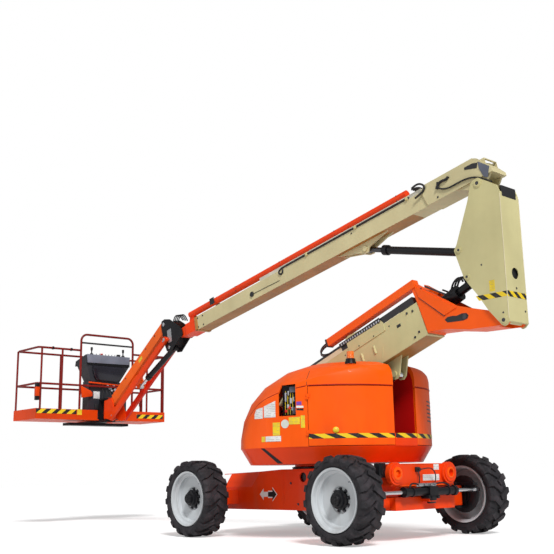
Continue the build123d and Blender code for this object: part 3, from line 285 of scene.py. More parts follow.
@dataclass(frozen=True)
class Rubber(Finish):
    """Tyre rubber: dusty tread, rings moulded round the side wall."""

    hub_x: float = 1.25
    hub_z: float = 0.45
    dust_and_shade_colour: Colour = (0.05, 0.04, 0.047)

    def build(self) -> bpy.types.Material:
        """Make the material."""
        g = Graph(self.name)
        x, _, z = g.axes()
        dx = g.maths("SUBTRACT", g.maths("ABSOLUTE", x), self.hub_x)
        dz = g.maths("SUBTRACT", z, self.hub_z)
        r = g.maths("SQRT", g.maths("ADD", g.maths("MULTIPLY", dx, dx), g.maths("MULTIPLY", dz, dz)))
        rings = g.ramp(g.maths("SINE", g.maths("MULTIPLY", r, 420.0)), -0.4, 0.6)
        wall = g.ramp(r, 0.395, 0.37)
        height = g.maths("ADD", g.maths("MULTIPLY", rings, wall), g.maths("MULTIPLY", g.noise(90.0), 0.5))
        g.bump(height, 0.5, 0.0025)
        dirt = g.maths("MULTIPLY", g.ramp(g.noise(9.0, 5.0), 0.42, 0.68), g.ramp(r, 0.33, 0.44, 0.25, 0.75))
        g.colour(g.blend(dirt, self.colour, self.dust_and_shade_colour))
        g.rough(g.ramp(g.noise(14.0), 0.3, 0.7, self.roughness - 0.08, self.roughness + 0.1))
        return g.material


@dataclass(frozen=True)
class Metal(Finish):
    """Bare or plated metal with fine drawn scratches."""

    grain: Point = (1.0, 1.0, 1.0)
    stain: float = 0.3

    def build(self) -> bpy.types.Material:
        """Make the material."""
        g = Graph(self.name)
        g.shader.inputs["Metallic"].default_value = 1.0
        tone = g.blend(g.maths("MULTIPLY", g.ramp(g.noise(8.0, 4.0), 0.4, 0.75), self.stain), self.colour,
                       shade(self.colour, 0.45))
        g.colour(tone)
        grain = g.noise(60.0, 3.0, 0.6, self.grain)
        g.rough(g.ramp(grain, 0.3, 0.7, self.roughness * 0.7, self.roughness * 1.4))
        g.bump(g.noise(240.0, 2.0, 0.5, self.grain), 0.15, 0.0004)
        return g.material


@dataclass(frozen=True)
class Plastic(Finish):
    """Moulded plastic or powder coat with a fine stipple."""

    stipple: float = 0.25
    fade: float = 0.15

    def build(self) -> bpy.types.Material:
        """Make the material."""
        g = Graph(self.name)
        tone = g.blend(g.ramp(g.noise(3.5, 4.0), 0.35, 0.7), shade(self.colour, 1.0 - self.fade),
                       shade(self.colour, 1.0 + self.fade * 1.6))
        g.colour(tone)
        g.rough(g.ramp(g.noise(20.0), 0.3, 0.7, self.roughness - 0.06, self.roughness + 0.08))
        g.bump(g.noise(420.0, 1.0), self.stipple, 0.0006)
        return g.material


@dataclass(frozen=True)
class Lens(Finish):
    """Tinted clear plastic with moulded ribs."""

    def build(self) -> bpy.types.Material:
        """Make the material."""
        g = Graph(self.name)
        g.colour(self.colour)
        g.rough(self.roughness)
        g.shader.inputs["Coat Weight"].default_value = 0.8
        g.shader.inputs["Subsurface Weight"].default_value = 0.35
        g.shader.inputs["Subsurface Radius"].default_value = (0.03, 0.01, 0.004)
        _, _, z = g.axes()
        g.bump(g.ramp(g.maths("SINE", g.maths("MULTIPLY", z, 900.0)), -1.0, 1.0), 0.4, 0.002)
        return g.material


@dataclass(frozen=True)
class Stripes(Finish):
    """Warning tape: dark bars on yellow, along a straight run or round the slew axis."""

    dark: Colour = (0.012, 0.012, 0.014)
    pitch: float = 0.2
    weave: Weave = Weave.FORWARD
    run: Point = (1.0, 0.0, 0.0)
    rise: Point = (0.0, 0.0, 1.0)
    round_radius: float = 0.0
    start: float = 0.0

    def build(self) -> bpy.types.Material:
        """Make the material."""
        g = Graph(self.name)
        x, y, z = g.axes()

        def along(way: Point) -> bpy.types.NodeSocket:
            """Distance along a direction."""
            total = g.maths("MULTIPLY", x, way[0])
            total = g.maths("MULTIPLY_ADD", y, way[1], total)
            return g.maths("MULTIPLY_ADD", z, way[2], total)

        if self.round_radius:
            u = g.maths("MULTIPLY", g.maths("ARCTAN2", y, x), self.round_radius)
        else:
            u = along(self.run)
        lean = g.maths("MULTIPLY", along(self.rise), float(self.weave.value))
        phase = g.maths("DIVIDE", g.maths("ADD", g.maths("ADD", u, lean), self.start), self.pitch)
        wrapped = g.maths("FRACT", g.maths("ADD", phase, 500.0))
        bar = g.ramp(g.maths("ABSOLUTE", g.maths("SUBTRACT", wrapped, 0.5)), 0.245, 0.255)
        scuff = g.ramp(g.noise(30.0, 4.0), 0.6, 0.8, 0.0, 0.3)
        tape = g.blend(bar, self.colour, self.dark)
        g.colour(g.blend(scuff, tape, shade(self.colour, 0.6)))
        g.rough(g.ramp(g.noise(25.0), 0.3, 0.7, self.roughness, self.roughness + 0.15))
        g.bump(g.noise(120.0), 0.1, 0.0004)
        return g.material


@dataclass(frozen=True)
class Printed(Finish):
    """Blank label stock: pale film with a rubbed surface and a few plain rules."""

    rules: float = 0.0
    ink: Colour = (0.2, 0.2, 0.2)

    def build(self) -> bpy.types.Material:
        """Make the material."""
        g = Graph(self.name)
        _, _, z = g.axes()
        tone = g.blend(g.ramp(g.noise(12.0, 4.0), 0.4, 0.7), self.colour, shade(self.colour, 0.86))
        if self.rules:
            line = g.ramp(g.maths("SINE", g.maths("MULTIPLY", z, self.rules)), 0.55, 0.7)
            gate = g.ramp(g.noise(40.0, 1.0), 0.42, 0.5)
            tone = g.blend(g.maths("MULTIPLY", g.maths("MULTIPLY", line, gate), 0.6), tone, self.ink)
        g.colour(tone)
        g.rough(g.ramp(g.noise(30.0), 0.3, 0.7, self.roughness, self.roughness + 0.12))
        g.bump(g.noise(200.0), 0.08, 0.0003)
        return g.material


# ---------------------------------------------------------------- finishes
# The orange blends towards a darker red lower down: painted shade, not dust.
ORANGE = Paint("orange_enamel", (0.95, 0.105, 0.0), 0.42, "orange", coat=0.1, patch=0.07, dust_and_shade=0.5,
               dust_and_shade_top=1.8, dust_and_shade_colour=(0.72, 0.02, 0.0))
# A darker, redder copy of the orange for the skirt, chassis, axles and other parts: painted shade.
ORANGE_SHADED = Paint("red_orange_enamel", (0.84, 0.05, 0.0), 0.42, "orange", coat=0.1, patch=0.08, dust_and_shade=0.2)
# A dark red copy of the orange for the platform rails, hoop and gate: painted shade.
ORANGE_SHADOW = Paint("faded_red_enamel", (0.2, 0.009, 0.006), 0.45, "red", coat=0.1, patch=0.12, dust_and_shade=0.15)
# A paler copy of the orange for the jib arm: painted light.
ORANGE_JIB_LIT = Paint("sunned_orange_enamel", (0.88, 0.13, 0.01), 0.42, "orange", coat=0.1, patch=0.12,
                   dust_and_shade=0.1)
ORANGE_PAN = Paint("pan_orange_enamel", (0.7, 0.055, 0.002), 0.42, "orange", coat=0.1, patch=0.12, dust_and_shade=0.1)
# A redder copy of the orange for the far jib link: painted shade.
RED_LINK_SHADE = Paint("link_red_enamel", (0.72, 0.02, 0.003), 0.4, "red", coat=0.1, patch=0.08, dust_and_shade=0.1)
# The cream paints blend towards brown, more so lower down.
CREAM = Paint("cream_enamel", (0.58, 0.53, 0.27), 0.42, "cream", coat=0.1, patch=0.07, dust_and_shade=0.25,
              dust_and_shade_top=4.2, dust_and_shade_colour=(0.36, 0.27, 0.12))
CREAM_BOOM = Paint("cream_boom_enamel", (0.62, 0.55, 0.31), 0.42, "cream", coat=0.1, patch=0.08, dust_and_shade=0.35,
                   dust_and_shade_top=4.4, dust_and_shade_colour=(0.4, 0.27, 0.1))
RIM_GREY = Paint("rim_grey_enamel", (0.55, 0.58, 0.6), 0.36, "rim_grey", coat=0.2, patch=0.06, dust_and_shade=0.35,
                 dust_and_shade_colour=(0.22, 0.19, 0.17))
BLACK = Paint("black_enamel", (0.007, 0.007, 0.009), 0.4, "black", coat=0.15, patch=0.2, dust_and_shade=0.12,
              dust_and_shade_colour=(0.1, 0.09, 0.08))
TYRE = Rubber("tyre_rubber", (0.009, 0.008, 0.011), 0.75, "tyre")
HOSE = Plastic("hose_rubber", (0.012, 0.012, 0.014), 0.55, "black", stipple=0.3)
DARK_PLASTIC = Plastic("slate_plastic", (0.022, 0.023, 0.03), 0.5, "plastic")
PALE_PLASTIC = Plastic("pale_grey_plastic", (0.42, 0.44, 0.48), 0.5, "plastic", fade=0.1)
TRAY_GREY = Plastic("tray_grey", (0.6, 0.57, 0.46), 0.45, "track", fade=0.12)
TRACK = Plastic("track_black", (0.02, 0.02, 0.023), 0.5, "track")
CHROME = Metal("hard_chrome", (0.72, 0.73, 0.75), 0.14, "chrome", stain=0.1)
ZINC = Metal("zinc_plate", (0.55, 0.56, 0.58), 0.32, "chrome")
DARK_STEEL = Metal("dark_steel", (0.1, 0.1, 0.11), 0.38, "black")
AMBER = Lens("amber_lens", (0.9, 0.19, 0.01), 0.25, "amber")
WHITE_FILM = Printed("white_label", (0.8, 0.8, 0.78), 0.35, "plastic", rules=330.0)
PLAIN_WHITE = Printed("white_film", (0.82, 0.82, 0.8), 0.35, "plastic")
BLACK_FILM = Printed("black_film", (0.01, 0.01, 0.012), 0.3, "plastic")
YELLOW_FILM = Printed("yellow_label", (0.86, 0.62, 0.01), 0.35, "plastic", rules=420.0)
VIOLET_FILM = Printed("violet_label", (0.2, 0.06, 0.42), 0.35, "plastic")
RED_FILM = Printed("red_film", (0.7, 0.02, 0.01), 0.35, "plastic")
TAPE_YELLOW: Colour = (0.85, 0.6, 0.01)


# ---------------------------------------------------------------- shape builder
@dataclass(frozen=True)
class Slope:
    """Frame along a boom: s runs down its length, n stands up from its pivot line, y is across."""

    origin: Vector
    along: Vector
    up: Vector

    @classmethod
    def through(cls, origin: Sequence[float], along: Sequence[float]) -> "Slope":
        """Frame at a point along a direction in the XZ plane, with n on the upper side.

        Args:
            origin: Pivot point.
            along: Direction of s.

        Returns:
            The frame.
        """
        d = Vector(along).normalized()
        n = Vector((-d.z, 0.0, d.x))
        return cls(Vector(origin), d, n if n.z > 0 else -n)

    def at(self, s: float, n: float, y: float = 0.0) -> Vector:
        """Point of the frame, in metres of the machine's frame."""
        return self.origin + self.along * s + self.up * n + Vector((0.0, y, 0.0))

    def matrix(self, s: float = 0.0, n: float = 0.0, y: float = 0.0) -> Matrix:
        """Right-handed placement whose local X is s and local Z is n."""
        across = self.up.cross(self.along)
        turn = Matrix((self.along, across, self.up)).transposed().to_4x4()
        return Matrix.Translation(self.at(s, n, y)) @ turn


class Shape:
    """A mesh under construction, in metres of the machine's frame."""

    def __init__(self) -> None:
        """Start empty."""
        self.bm = bmesh.new()

    def _soften(self, faces: Iterable[bmesh.types.BMFace], radius: float, segments: int = 2) -> None:
        """Round the sharp edges of the faces just made."""
        if radius <= 0.0:
            return
        edges = {e for f in faces if f.is_valid for e in f.edges
                 if len(e.link_faces) == 2 and e.calc_face_angle(0.0) > 0.6}
        bmesh.ops.bevel(self.bm, geom=list(edges), offset=radius, affect="EDGES", segments=segments,
                        profile=0.5, material=-1, clamp_overlap=True)

    def box(self, low: Sequence[float], high: Sequence[float], radius: float = 0.0,
            place: Matrix = Matrix.Identity(4)) -> "Shape":
        """Add a block with rounded edges.

        Args:
            low: Lowest corner in the placement's frame.
            high: Highest corner.
            radius: Radius of the edges.
            place: Frame of the corners.

        Returns:
            The shape itself.
        """
        a, b = Vector(low), Vector(high)
        size = Vector((abs(b.x - a.x), abs(b.y - a.y), abs(b.z - a.z)))
        made = bmesh.ops.create_cube(self.bm, size=1.0)
        move = place @ Matrix.Translation((a + b) / 2) @ Matrix.Diagonal((*size, 1.0))
        bmesh.ops.transform(self.bm, matrix=move, verts=made["verts"])
        faces = {f for v in made["verts"] for f in v.link_faces}
        self._soften(faces, min(radius, min(size) * 0.45))
        return self

    def rod(self, start: Sequence[float], end: Sequence[float], radius: float, sides: int = 24,
            edge: float = 0.0, tip: Optional[float] = None) -> "Shape":
        """Add a round bar, or a cone, between two points.

        Args:
            start: Centre of the first end.
            end: Centre of the other end.
            radius: Radius at the start.
            sides: Facets round it.
            edge: Radius of its rims.
            tip: Radius at the end, if it tapers.

        Returns:
            The shape itself.
        """
        a, b = Vector(start), Vector(end)
        way = b - a
        made = bmesh.ops.create_cone(self.bm, cap_ends=True, segments=sides, radius1=radius,
                                     radius2=radius if tip is None else tip, depth=way.length)
        turn = way.to_track_quat("Z", "Y").to_matrix().to_4x4()
        bmesh.ops.transform(self.bm, matrix=Matrix.Translation((a + b) / 2) @ turn, verts=made["verts"])
        caps = {f for v in made["verts"] for f in v.link_faces if len(f.verts) > 4 or sides <= 4}
        self._soften(caps, min(edge, radius * 0.45, way.length * 0.45))
        return self

    def prism(self, outline: Sequence[tuple[float, float]], low: float, high: float,
              place: Matrix = Matrix.Identity(4), radius: float = 0.0) -> "Shape":
        """Add a plate: an outline in the placement's XZ plane, pulled along its Y.

        Args:
            outline: Corner points (x, z).
            low: Start along Y.
            high: End along Y.
            place: Frame of the outline.
            radius: Radius of its edges.

        Returns:
            The shape itself.
        """
        verts = [self.bm.verts.new((x, low, z)) for x, z in outline]
        face = self.bm.faces.new(verts)
        pulled = bmesh.ops.extrude_face_region(self.bm, geom=[face], use_keep_orig=True)
        top = [v for v in pulled["geom"] if isinstance(v, bmesh.types.BMVert)]
        bmesh.ops.translate(self.bm, vec=(0.0, high - low, 0.0), verts=top)
        bmesh.ops.transform(self.bm, matrix=place, verts=verts + top)
        faces = {f for v in verts + top for f in v.link_faces}
        bmesh.ops.recalc_face_normals(self.bm, faces=list(faces))
        self._soften(faces, radius)
        return self

    def lathe(self, profile: Sequence[tuple[float, float]], start: Sequence[float], way: Sequence[float],
              sides: int = 40) -> "Shape":
        """Spin a closed profile (radius, distance along the axis) into a ring or a turned piece.

        Args:
            profile: Points (radius, distance); the loop closes by itself.
            start: Point of the axis at distance 0.
            way: Direction of the axis.
            sides: Steps of the spin.

        Returns:
            The shape itself.
        """
        verts = [self.bm.verts.new((r, 0.0, d)) for r, d in profile]
        edges = [self.bm.edges.new((verts[i], verts[(i + 1) % len(verts)])) for i in range(len(verts))]
        spun = bmesh.ops.spin(self.bm, geom=verts + edges, cent=(0, 0, 0), axis=(0, 0, 1),
                              angle=math.tau, steps=sides, use_merge=True)
        got = set(verts)
        got.update(g for g in spun["geom_last"] if isinstance(g, bmesh.types.BMVert))
        queue = [v for v in got if v.is_valid]
        found = set(queue)
        while queue:
            for e in queue.pop().link_edges:
                for v in e.verts:
                    if v not in found:
                        found.add(v)
                        queue.append(v)
        bmesh.ops.remove_doubles(self.bm, verts=list(found), dist=1e-6)
        found = {v for v in found if v.is_valid}
        turn = Vector(way).to_track_quat("Z", "Y").to_matrix().to_4x4()
        bmesh.ops.transform(self.bm, matrix=Matrix.Translation(Vector(start)) @ turn, verts=list(found))
        bmesh.ops.recalc_face_normals(self.bm, faces=list({f for v in found for f in v.link_faces}))
        return self

    def hose(self, points: Sequence[Sequence[float]], radius: float, sides: int = 6) -> "Shape":
        """Add a hose or a bent bar on one smooth line near the points.

        Args:
            points: Control points; the line starts and ends on the first and last.
            radius: Radius of the hose.
            sides: Resolution round a quarter of it.

        Returns:
            The shape itself.
        """
        curve = bpy.data.curves.new("run", "CURVE")
        curve.dimensions = "3D"
        curve.bevel_depth = radius
        curve.bevel_resolution = max(1, sides // 2)
        curve.use_fill_caps = True
        spline = curve.splines.new("NURBS")
        spline.points.add(len(points) - 1)
        for knot, p in zip(spline.points, points):
            knot.co = (*p, 1.0)
        spline.order_u = min(4, len(points))
        spline.use_endpoint_u = True
        spline.resolution_u = 8
        holder = bpy.data.objects.new("run", curve)
        bpy.context.scene.collection.objects.link(holder)
        bpy.context.view_layer.update()
        graph = bpy.context.evaluated_depsgraph_get()
        mesh = bpy.data.meshes.new_from_object(holder.evaluated_get(graph))
        self.bm.from_mesh(mesh)
        bpy.data.objects.remove(holder)
        bpy.data.curves.remove(curve)
        bpy.data.meshes.remove(mesh)
        return self

    def bolt(self, seat: Sequence[float], way: Sequence[float], radius: float = 0.012) -> "Shape":
        """Add a hexagon bolt head on a washer.

        Args:
            seat: Point on the surface.
            way: Outward direction.
            radius: Across-corners radius of the head.

        Returns:
            The shape itself.
        """
        p, d = Vector(seat), Vector(way).normalized()
        self.rod(p - d * 0.001, p + d * radius * 0.18, radius * 1.35, 20)
        self.rod(p, p + d * radius * 0.85, radius, 6, radius * 0.12)
        return self

    def ring_of_bolts(self, centre: Sequence[float], way: Sequence[float], radius: float, count: int,
                      head: float = 0.012, turn: float = 0.0) -> "Shape":
        """Add bolts on a circle round an axis.

        Args:
            centre: Centre of the circle on the surface.
            way: Outward direction.
            radius: Radius of the circle.
            count: Number of bolts.
            head: Radius of each head.
            turn: Angle of the first, in degrees.

        Returns:
            The shape itself.
        """
        d = Vector(way).normalized()
        side = d.orthogonal().normalized()
        up = d.cross(side)
        for i in range(count):
            a = math.radians(turn) + math.tau * i / count
            self.bolt(Vector(centre) + side * radius * math.cos(a) + up * radius * math.sin(a), d, head)
        return self

    def finish(self, name: str, body: str, finish: Finish, sharp: float = 38.0) -> bpy.types.Object:
        """Turn the shape into a piece of the machine.

        Args:
            name: Name of the piece.
            body: Body it moves with.
            finish: Its finish.
            sharp: Edges over this angle stay crisp, in degrees.

        Returns:
            The object.
        """
        for face in self.bm.faces:
            face.smooth = True
        mesh = bpy.data.meshes.new(name)
        self.bm.to_mesh(mesh)
        self.bm.free()
        mesh.set_sharp_from_angle(angle=math.radians(sharp))
        mesh.materials.append(finish.material())
        piece = bpy.data.objects.new(name, mesh)
        bpy.context.scene.collection.objects.link(piece)
        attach(piece, body)
        LOG.info("piece %s on %s: %d faces", name, body, len(mesh.polygons))
        return piece


class Skin:
    """Outer surface of some carried-over solids, found by looking in from outside."""

    def __init__(self, frame: dict, nodes: Sequence[str]) -> None:
        """Gather the solids' faces.

        Args:
            frame: The loaded frame.
            nodes: Names of the solids.
        """
        points: list[Vector] = []
        faces: list[list[int]] = []
        for name in nodes:
            mesh = frame["nodes"][name].data
            start = len(points)
            points.extend(v.co.copy() for v in mesh.vertices)
            faces.extend([start + i for i in p.vertices] for p in mesh.polygons)
        self.tree = BVHTree.FromPolygons(points, faces)

    def touch(self, start: Vector, way: Vector) -> Optional[tuple[Vector, Vector]]:
        """First point met from a start along a direction, with the normal facing back."""
        hit, normal, _, _ = self.tree.ray_cast(start, way.normalized(), 6.0)
        if hit is None:
            return None
        if normal.dot(way) > 0:
            normal = -normal
        return hit, normal

    def round_spot(self, degrees: float, z: float, lift: float = 0.0) -> Vector:
        """Point of the surface at an angle about the slew axis and a height.

        Args:
            degrees: Angle from +X.
            z: Height.
            lift: Distance to stand proud.

        Returns:
            The point.
        """
        a = math.radians(degrees)
        out = Vector((math.cos(a), math.sin(a), 0.0))
        level = Vector((0.0, 0.0, z))
        got = self.touch(level + out * 2.6, -out)
        if got is None:
            return level + out * 1.2
        return got[0] + got[1] * lift

    def patch(self, corners: Sequence[tuple[float, float]], lift: float = 0.0015, thick: float = 0.001,
              across: int = 6, high: int = 4) -> Shape:
        """Thin film over four (degrees, z) corners of the surface round the slew axis.

        Args:
            corners: Top left, top right, bottom right, bottom left.
            lift: Distance its back stands off.
            thick: Thickness of the film.
            across: Columns of faces.
            high: Rows of faces.

        Returns:
            The film as a closed shape.
        """
        shape = Shape()
        made = bmesh.ops.create_grid(shape.bm, x_segments=across, y_segments=high, size=0.5)
        tl, tr, br, bl = (Vector((c[0], c[1], 0.0)) for c in corners)
        for v in made["verts"]:
            u, w = v.co.x + 0.5, v.co.y + 0.5
            low, top = bl.lerp(br, u), tl.lerp(tr, u)
            spot = low.lerp(top, w)
            v.co = self.round_spot(spot.x, spot.y, lift)
        bmesh.ops.recalc_face_normals(shape.bm, faces=shape.bm.faces)
        mid = shape.bm.faces[:][len(shape.bm.faces) // 2]
        if mid.normal.dot(Vector((mid.calc_center_median().x, mid.calc_center_median().y, 0.0))) < 0:
            bmesh.ops.reverse_faces(shape.bm, faces=shape.bm.faces)
        bmesh.ops.solidify(shape.bm, geom=shape.bm.faces[:], thickness=-thick)
        bmesh.ops.recalc_face_normals(shape.bm, faces=shape.bm.faces)
        return shape


def pivot(frame: dict, joint: str) -> Vector:
    """Point that a joint turns about."""
    return Vector(next(j for j in frame["joints"] if j["name"] == joint)["pos_m"])


# ---------------------------------------------------------------- finishes of the trim
# Brown for the undersides of the tower and boom: painted shade.
BROWN_UNDER_SHADE = Paint("bronzed_cream_enamel", (0.42, 0.2, 0.05), 0.45, "cream", coat=0.1, patch=0.2, dust_and_shade=0.1)
# Dark red for the beads in the crease and above the doors: painted shadow lines.
SEAM_SHADOW = Paint("seam_red_enamel", (0.3, 0.004, 0.003), 0.5, "red", coat=0.0, patch=0.05, dust_and_shade=0.0)
# Dark red sheet for the slot's far wall: painted shade.
SLOT_SHADE = Paint("slot_red_enamel", (0.6, 0.004, 0.004), 0.5, "red", coat=0.05, patch=0.06, dust_and_shade=0.05)
GLOSS_BLACK = Plastic("gloss_black", (0.012, 0.011, 0.018), 0.16, "black")
SLATE_PALE = Plastic("slate_pale_plastic", (0.17, 0.18, 0.23), 0.4, "plastic")
SLATE = Plastic("slate_blue_plastic", (0.1, 0.11, 0.15), 0.42, "plastic")
CREAM_TRIM = Paint("cream_trim_enamel", (0.7, 0.63, 0.42), 0.42, "cream", coat=0.15, patch=0.05, dust_and_shade=0.1)
PALE_TAG = Printed("pale_tag", (0.62, 0.66, 0.6), 0.4, "plastic")
HOOD_TAPE = Stripes("hood_tape", TAPE_YELLOW, 0.35, "plastic", pitch=0.245, rise=(0.0, 0.0, 2.3),
                    round_radius=1.235, start=0.06)
POST_TAPE = Stripes("post_tape", TAPE_YELLOW, 0.35, "plastic", pitch=0.155, rise=(0.0, 0.0, 1.3),
                    run=(1.0, 0.0, 0.0), start=0.05)
BACK_TAPE = Stripes("back_tape", TAPE_YELLOW, 0.35, "plastic", pitch=0.14, rise=(0.0, 0.0, 1.3),
                    run=(0.0, 1.0, 0.0), start=0.02)
TOE_TAPE = Stripes("toe_tape", TAPE_YELLOW, 0.38, "plastic", pitch=0.175, rise=(0.0, 0.0, 1.2),
                   run=(0.0, 1.0, 0.0), start=0.0)


def facing_x(x: float) -> Matrix:
    """Placement whose outlines read (y, z) and whose depth runs towards -X from x."""
    turn = Matrix(((0.0, -1.0, 0.0), (1.0, 0.0, 0.0), (0.0, 0.0, 1.0))).to_4x4()
    return Matrix.Translation((x, 0.0, 0.0)) @ turn


# ---------------------------------------------------------------- wheels
@dataclass(frozen=True)
class Wheels:
    """Studs, hub plugs and valves of the four wheels."""

    frame: dict
    disc_out: float = 0.0475
    well_out: float = 0.0335
    hub_out: float = 0.1435
    stud_circle: float = 0.113
    studs: int = 9

    def _one(self, name: str) -> None:
        """Trim one wheel.

        Args:
            name: Corner of the machine, as in the joints' names.
        """
        centre = pivot(self.frame, "spin_" + name)
        out = Vector((0.0, math.copysign(1.0, centre.y), 0.0))
        face = centre + out * self.disc_out
        well = centre + out * self.well_out
        body = "wheel_" + name
        studs = Shape()
        for i in range(self.studs):
            a = math.tau * (i + 0.3) / self.studs
            seat = well + Vector((math.cos(a), 0.0, math.sin(a))) * self.stud_circle
            studs.rod(seat, seat + out * 0.03, 0.0075, 10, 0.001)
            studs.bolt(seat, out, 0.0155)
        studs.finish("studs_" + name, body, DARK_STEEL)
        tip = centre + out * self.hub_out
        cap = Shape()
        cap.lathe([(0.0, 0.0), (0.024, 0.0), (0.024, 0.004), (0.02, 0.008), (0.0, 0.009)], tip - out * 0.001,
                  out, 28)
        cap.ring_of_bolts(tip, out, 0.037, 6, 0.0065, 12.0)
        cap.finish("hub_plug_" + name, body, BLACK)
        valve = Shape()
        stem = face + Vector((0.155, 0.0, 0.177))
        valve.rod(stem - out * 0.004, stem + out * 0.034, 0.0055, 12, 0.001)
        valve.rod(stem + out * 0.03, stem + out * 0.046, 0.0072, 12, 0.002)
        valve.finish("valve_" + name, body, ZINC)

    def build(self) -> int:
        """Trim the wheels.

        Returns:
            Number of wheels.
        """
        names = ("front_left", "front_right", "rear_left", "rear_right")
        for name in names:
            self._one(name)
        return len(names)


# ---------------------------------------------------------------- chassis
@dataclass(frozen=True)
class Chassis:
    """Marks, covers, weld beads and end fittings of the frame."""

    frame: dict
    side: float = 0.48
    end: float = 1.4705
    arrow: tuple[float, float, float, float] = (-0.747, -0.439, 0.413, 0.55)

    def _arrows(self, side: Side) -> None:
        """Put the two-way travel arrow on one flank.

        Args:
            side: Which flank.
        """
        x0, x1, z0, z1 = self.arrow
        mid, centre, head = (x0 + x1) / 2, (z0 + z1) / 2, (z1 - z0) / 2
        shaft = head * 0.42

        def half(sign: int, grow: float) -> list[tuple[float, float]]:
            """Outline of the arrow that points along one sign of X."""
            tip = (x1 if sign > 0 else x0) + sign * grow
            neck = tip - sign * (head * 1.05 + grow)
            wide, tall = shaft + grow, head + grow
            return [(mid, centre - wide), (neck, centre - wide), (neck, centre - tall), (tip, centre),
                    (neck, centre + tall), (neck, centre + wide), (mid, centre + wide)]

        y = side.value * self.side
        out = side.value * 0.0012
        name = side.name.lower()
        Shape().prism(half(-1, 0.0), y, y + out).prism(half(1, 0.014), y, y + out).finish(
            "arrow_white_" + name, "chassis", PLAIN_WHITE)
        Shape().prism(half(1, 0.0), y + out, y + out * 1.8).finish(
            "arrow_black_" + name, "chassis", BLACK_FILM)

    def _flank(self, side: Side) -> None:
        """Weld beads, a black disc of painted shade in the service hole, and bolts of one flank.

        Args:
            side: Which flank.
        """
        y = side.value * self.side
        name = side.name.lower()
        dark = side.value * 0.03
        # Black disc inside the service hole: painted shade of the frame's hollow inside.
        hole = Shape().rod((0.03, y - dark * 1.05, 0.677), (0.03, y - dark, 0.677), 0.09, 32)
        hole.finish("service_hole_" + name, "chassis", BLACK_FILM)
        rim = Shape()
        out = (0.0, side.value, 0.0)
        beads = ((-1.43, 0.728, -0.73, 0.748), (-0.73, 0.748, -0.34, 0.767), (-0.34, 0.767, 1.33, 0.767))
        for xa, za, xb, zb in beads:
            rim.rod((xa, y, za), (xb, y, zb), 0.0045, 10)
        rim.rod((-0.31, y, 0.32), (-0.31, y, 0.74), 0.003, 8).rod((0.43, y, 0.32), (0.43, y, 0.74), 0.003, 8)
        rim.finish("weld_beads_" + name, "chassis", ORANGE_SHADED)
        bolts = Shape()
        for x, z in ((-0.18, 0.61), (-0.06, 0.37), (0.52, 0.4), (0.52, 0.7)):
            bolts.bolt((x, y, z), out, 0.011)
        bolts.finish("flank_bolts_" + name, "chassis", DARK_STEEL)

    def _end(self) -> None:
        """Fittings on the steered end: bosses, labels, plug with its cable and the hose bracket."""
        x = self.end
        caps = Shape()
        for y, r in ((-0.524, 0.07), (0.371, 0.062)):
            caps.lathe([(0.041, -0.001), (r, -0.001), (r, 0.005), (r - 0.008, 0.01), (0.041, 0.01)],
                       (1.52, y, 0.698), (1, 0, 0), 36)
        caps.lathe([(0.0, 0.0), (0.0395, 0.0), (0.0395, 0.008), (0.026, 0.017), (0.0, 0.02)],
                   (1.492, -0.524, 0.698), (1, 0, 0), 32)
        caps.rod((x, -0.4, 0.797), (x, 0.26, 0.797), 0.004, 10)
        caps.rod((x, -0.47, 0.569), (x, 0.47, 0.569), 0.004, 10)
        caps.finish("boss_caps", "chassis", ORANGE)
        labels = Shape().box((x - 0.001, -0.056, 0.619), (x + 0.0015, 0.225, 0.684))
        labels.box((x - 0.001, 0.136, 0.732), (x + 0.0015, 0.228, 0.796))
        labels.finish("end_labels", "chassis", WHITE_FILM)
        plug = Shape()
        plug.box((x - 0.001, -0.187, 0.712), (x + 0.03, -0.127, 0.764), 0.006)
        plug.rod((x + 0.028, -0.157, 0.738), (x + 0.052, -0.157, 0.738), 0.017, 20, 0.003)
        plug.hose([(x + 0.05, -0.157, 0.738), (x + 0.085, -0.13, 0.745), (x + 0.075, -0.02, 0.76),
                   (x + 0.07, 0.07, 0.72), (x + 0.06, 0.095, 0.64), (x + 0.04, 0.093, 0.585),
                   (x + 0.01, 0.09, 0.56)], 0.006)
        plug.hose([(x + 0.03, -0.165, 0.72), (x + 0.05, -0.172, 0.69), (x + 0.045, -0.165, 0.62),
                   (x + 0.02, -0.15, 0.56)], 0.006)
        plug.finish("sensor_plug", "chassis", HOSE)
        box = Shape()
        box.box((1.36, -0.72, 0.66), (1.44, -0.61, 0.81), 0.012)
        box.rod((1.439, -0.66, 0.72), (1.45, -0.66, 0.72), 0.04, 24, 0.004)
        box.finish("steer_stop_box", "chassis", BLACK)
        bracket = Shape()
        bracket.box((x - 0.002, -0.228, 0.556), (x + 0.05, 0.101, 0.562), 0.001)
        bracket.box((x + 0.045, -0.228, 0.556), (x + 0.05, 0.101, 0.594), 0.001)
        for y in (-0.2, -0.1, 0.0, 0.075):
            bracket.rod((x + 0.04, y, 0.578), (x + 0.07, y, 0.578), 0.011, 6, 0.001)
        bracket.finish("hose_bracket", "chassis", ZINC)

    def build(self) -> int:
        """Dress the chassis.

        Returns:
            Number of flanks done.
        """
        for side in Side:
            self._arrows(side)
            self._flank(side)
        self._end()
        ring = Shape().lathe([(0.4205, 0.772), (0.452, 0.772), (0.452, 0.788), (0.436, 0.8), (0.4205, 0.8)],
                             (0, 0, 0), (0, 0, 1), 72)
        ring.ring_of_bolts((0.0, 0.0, 0.788), (0, 0, 1), 0.445, 36, 0.009)
        ring.finish("slew_ring_collar", "chassis", BLACK)
        return 2


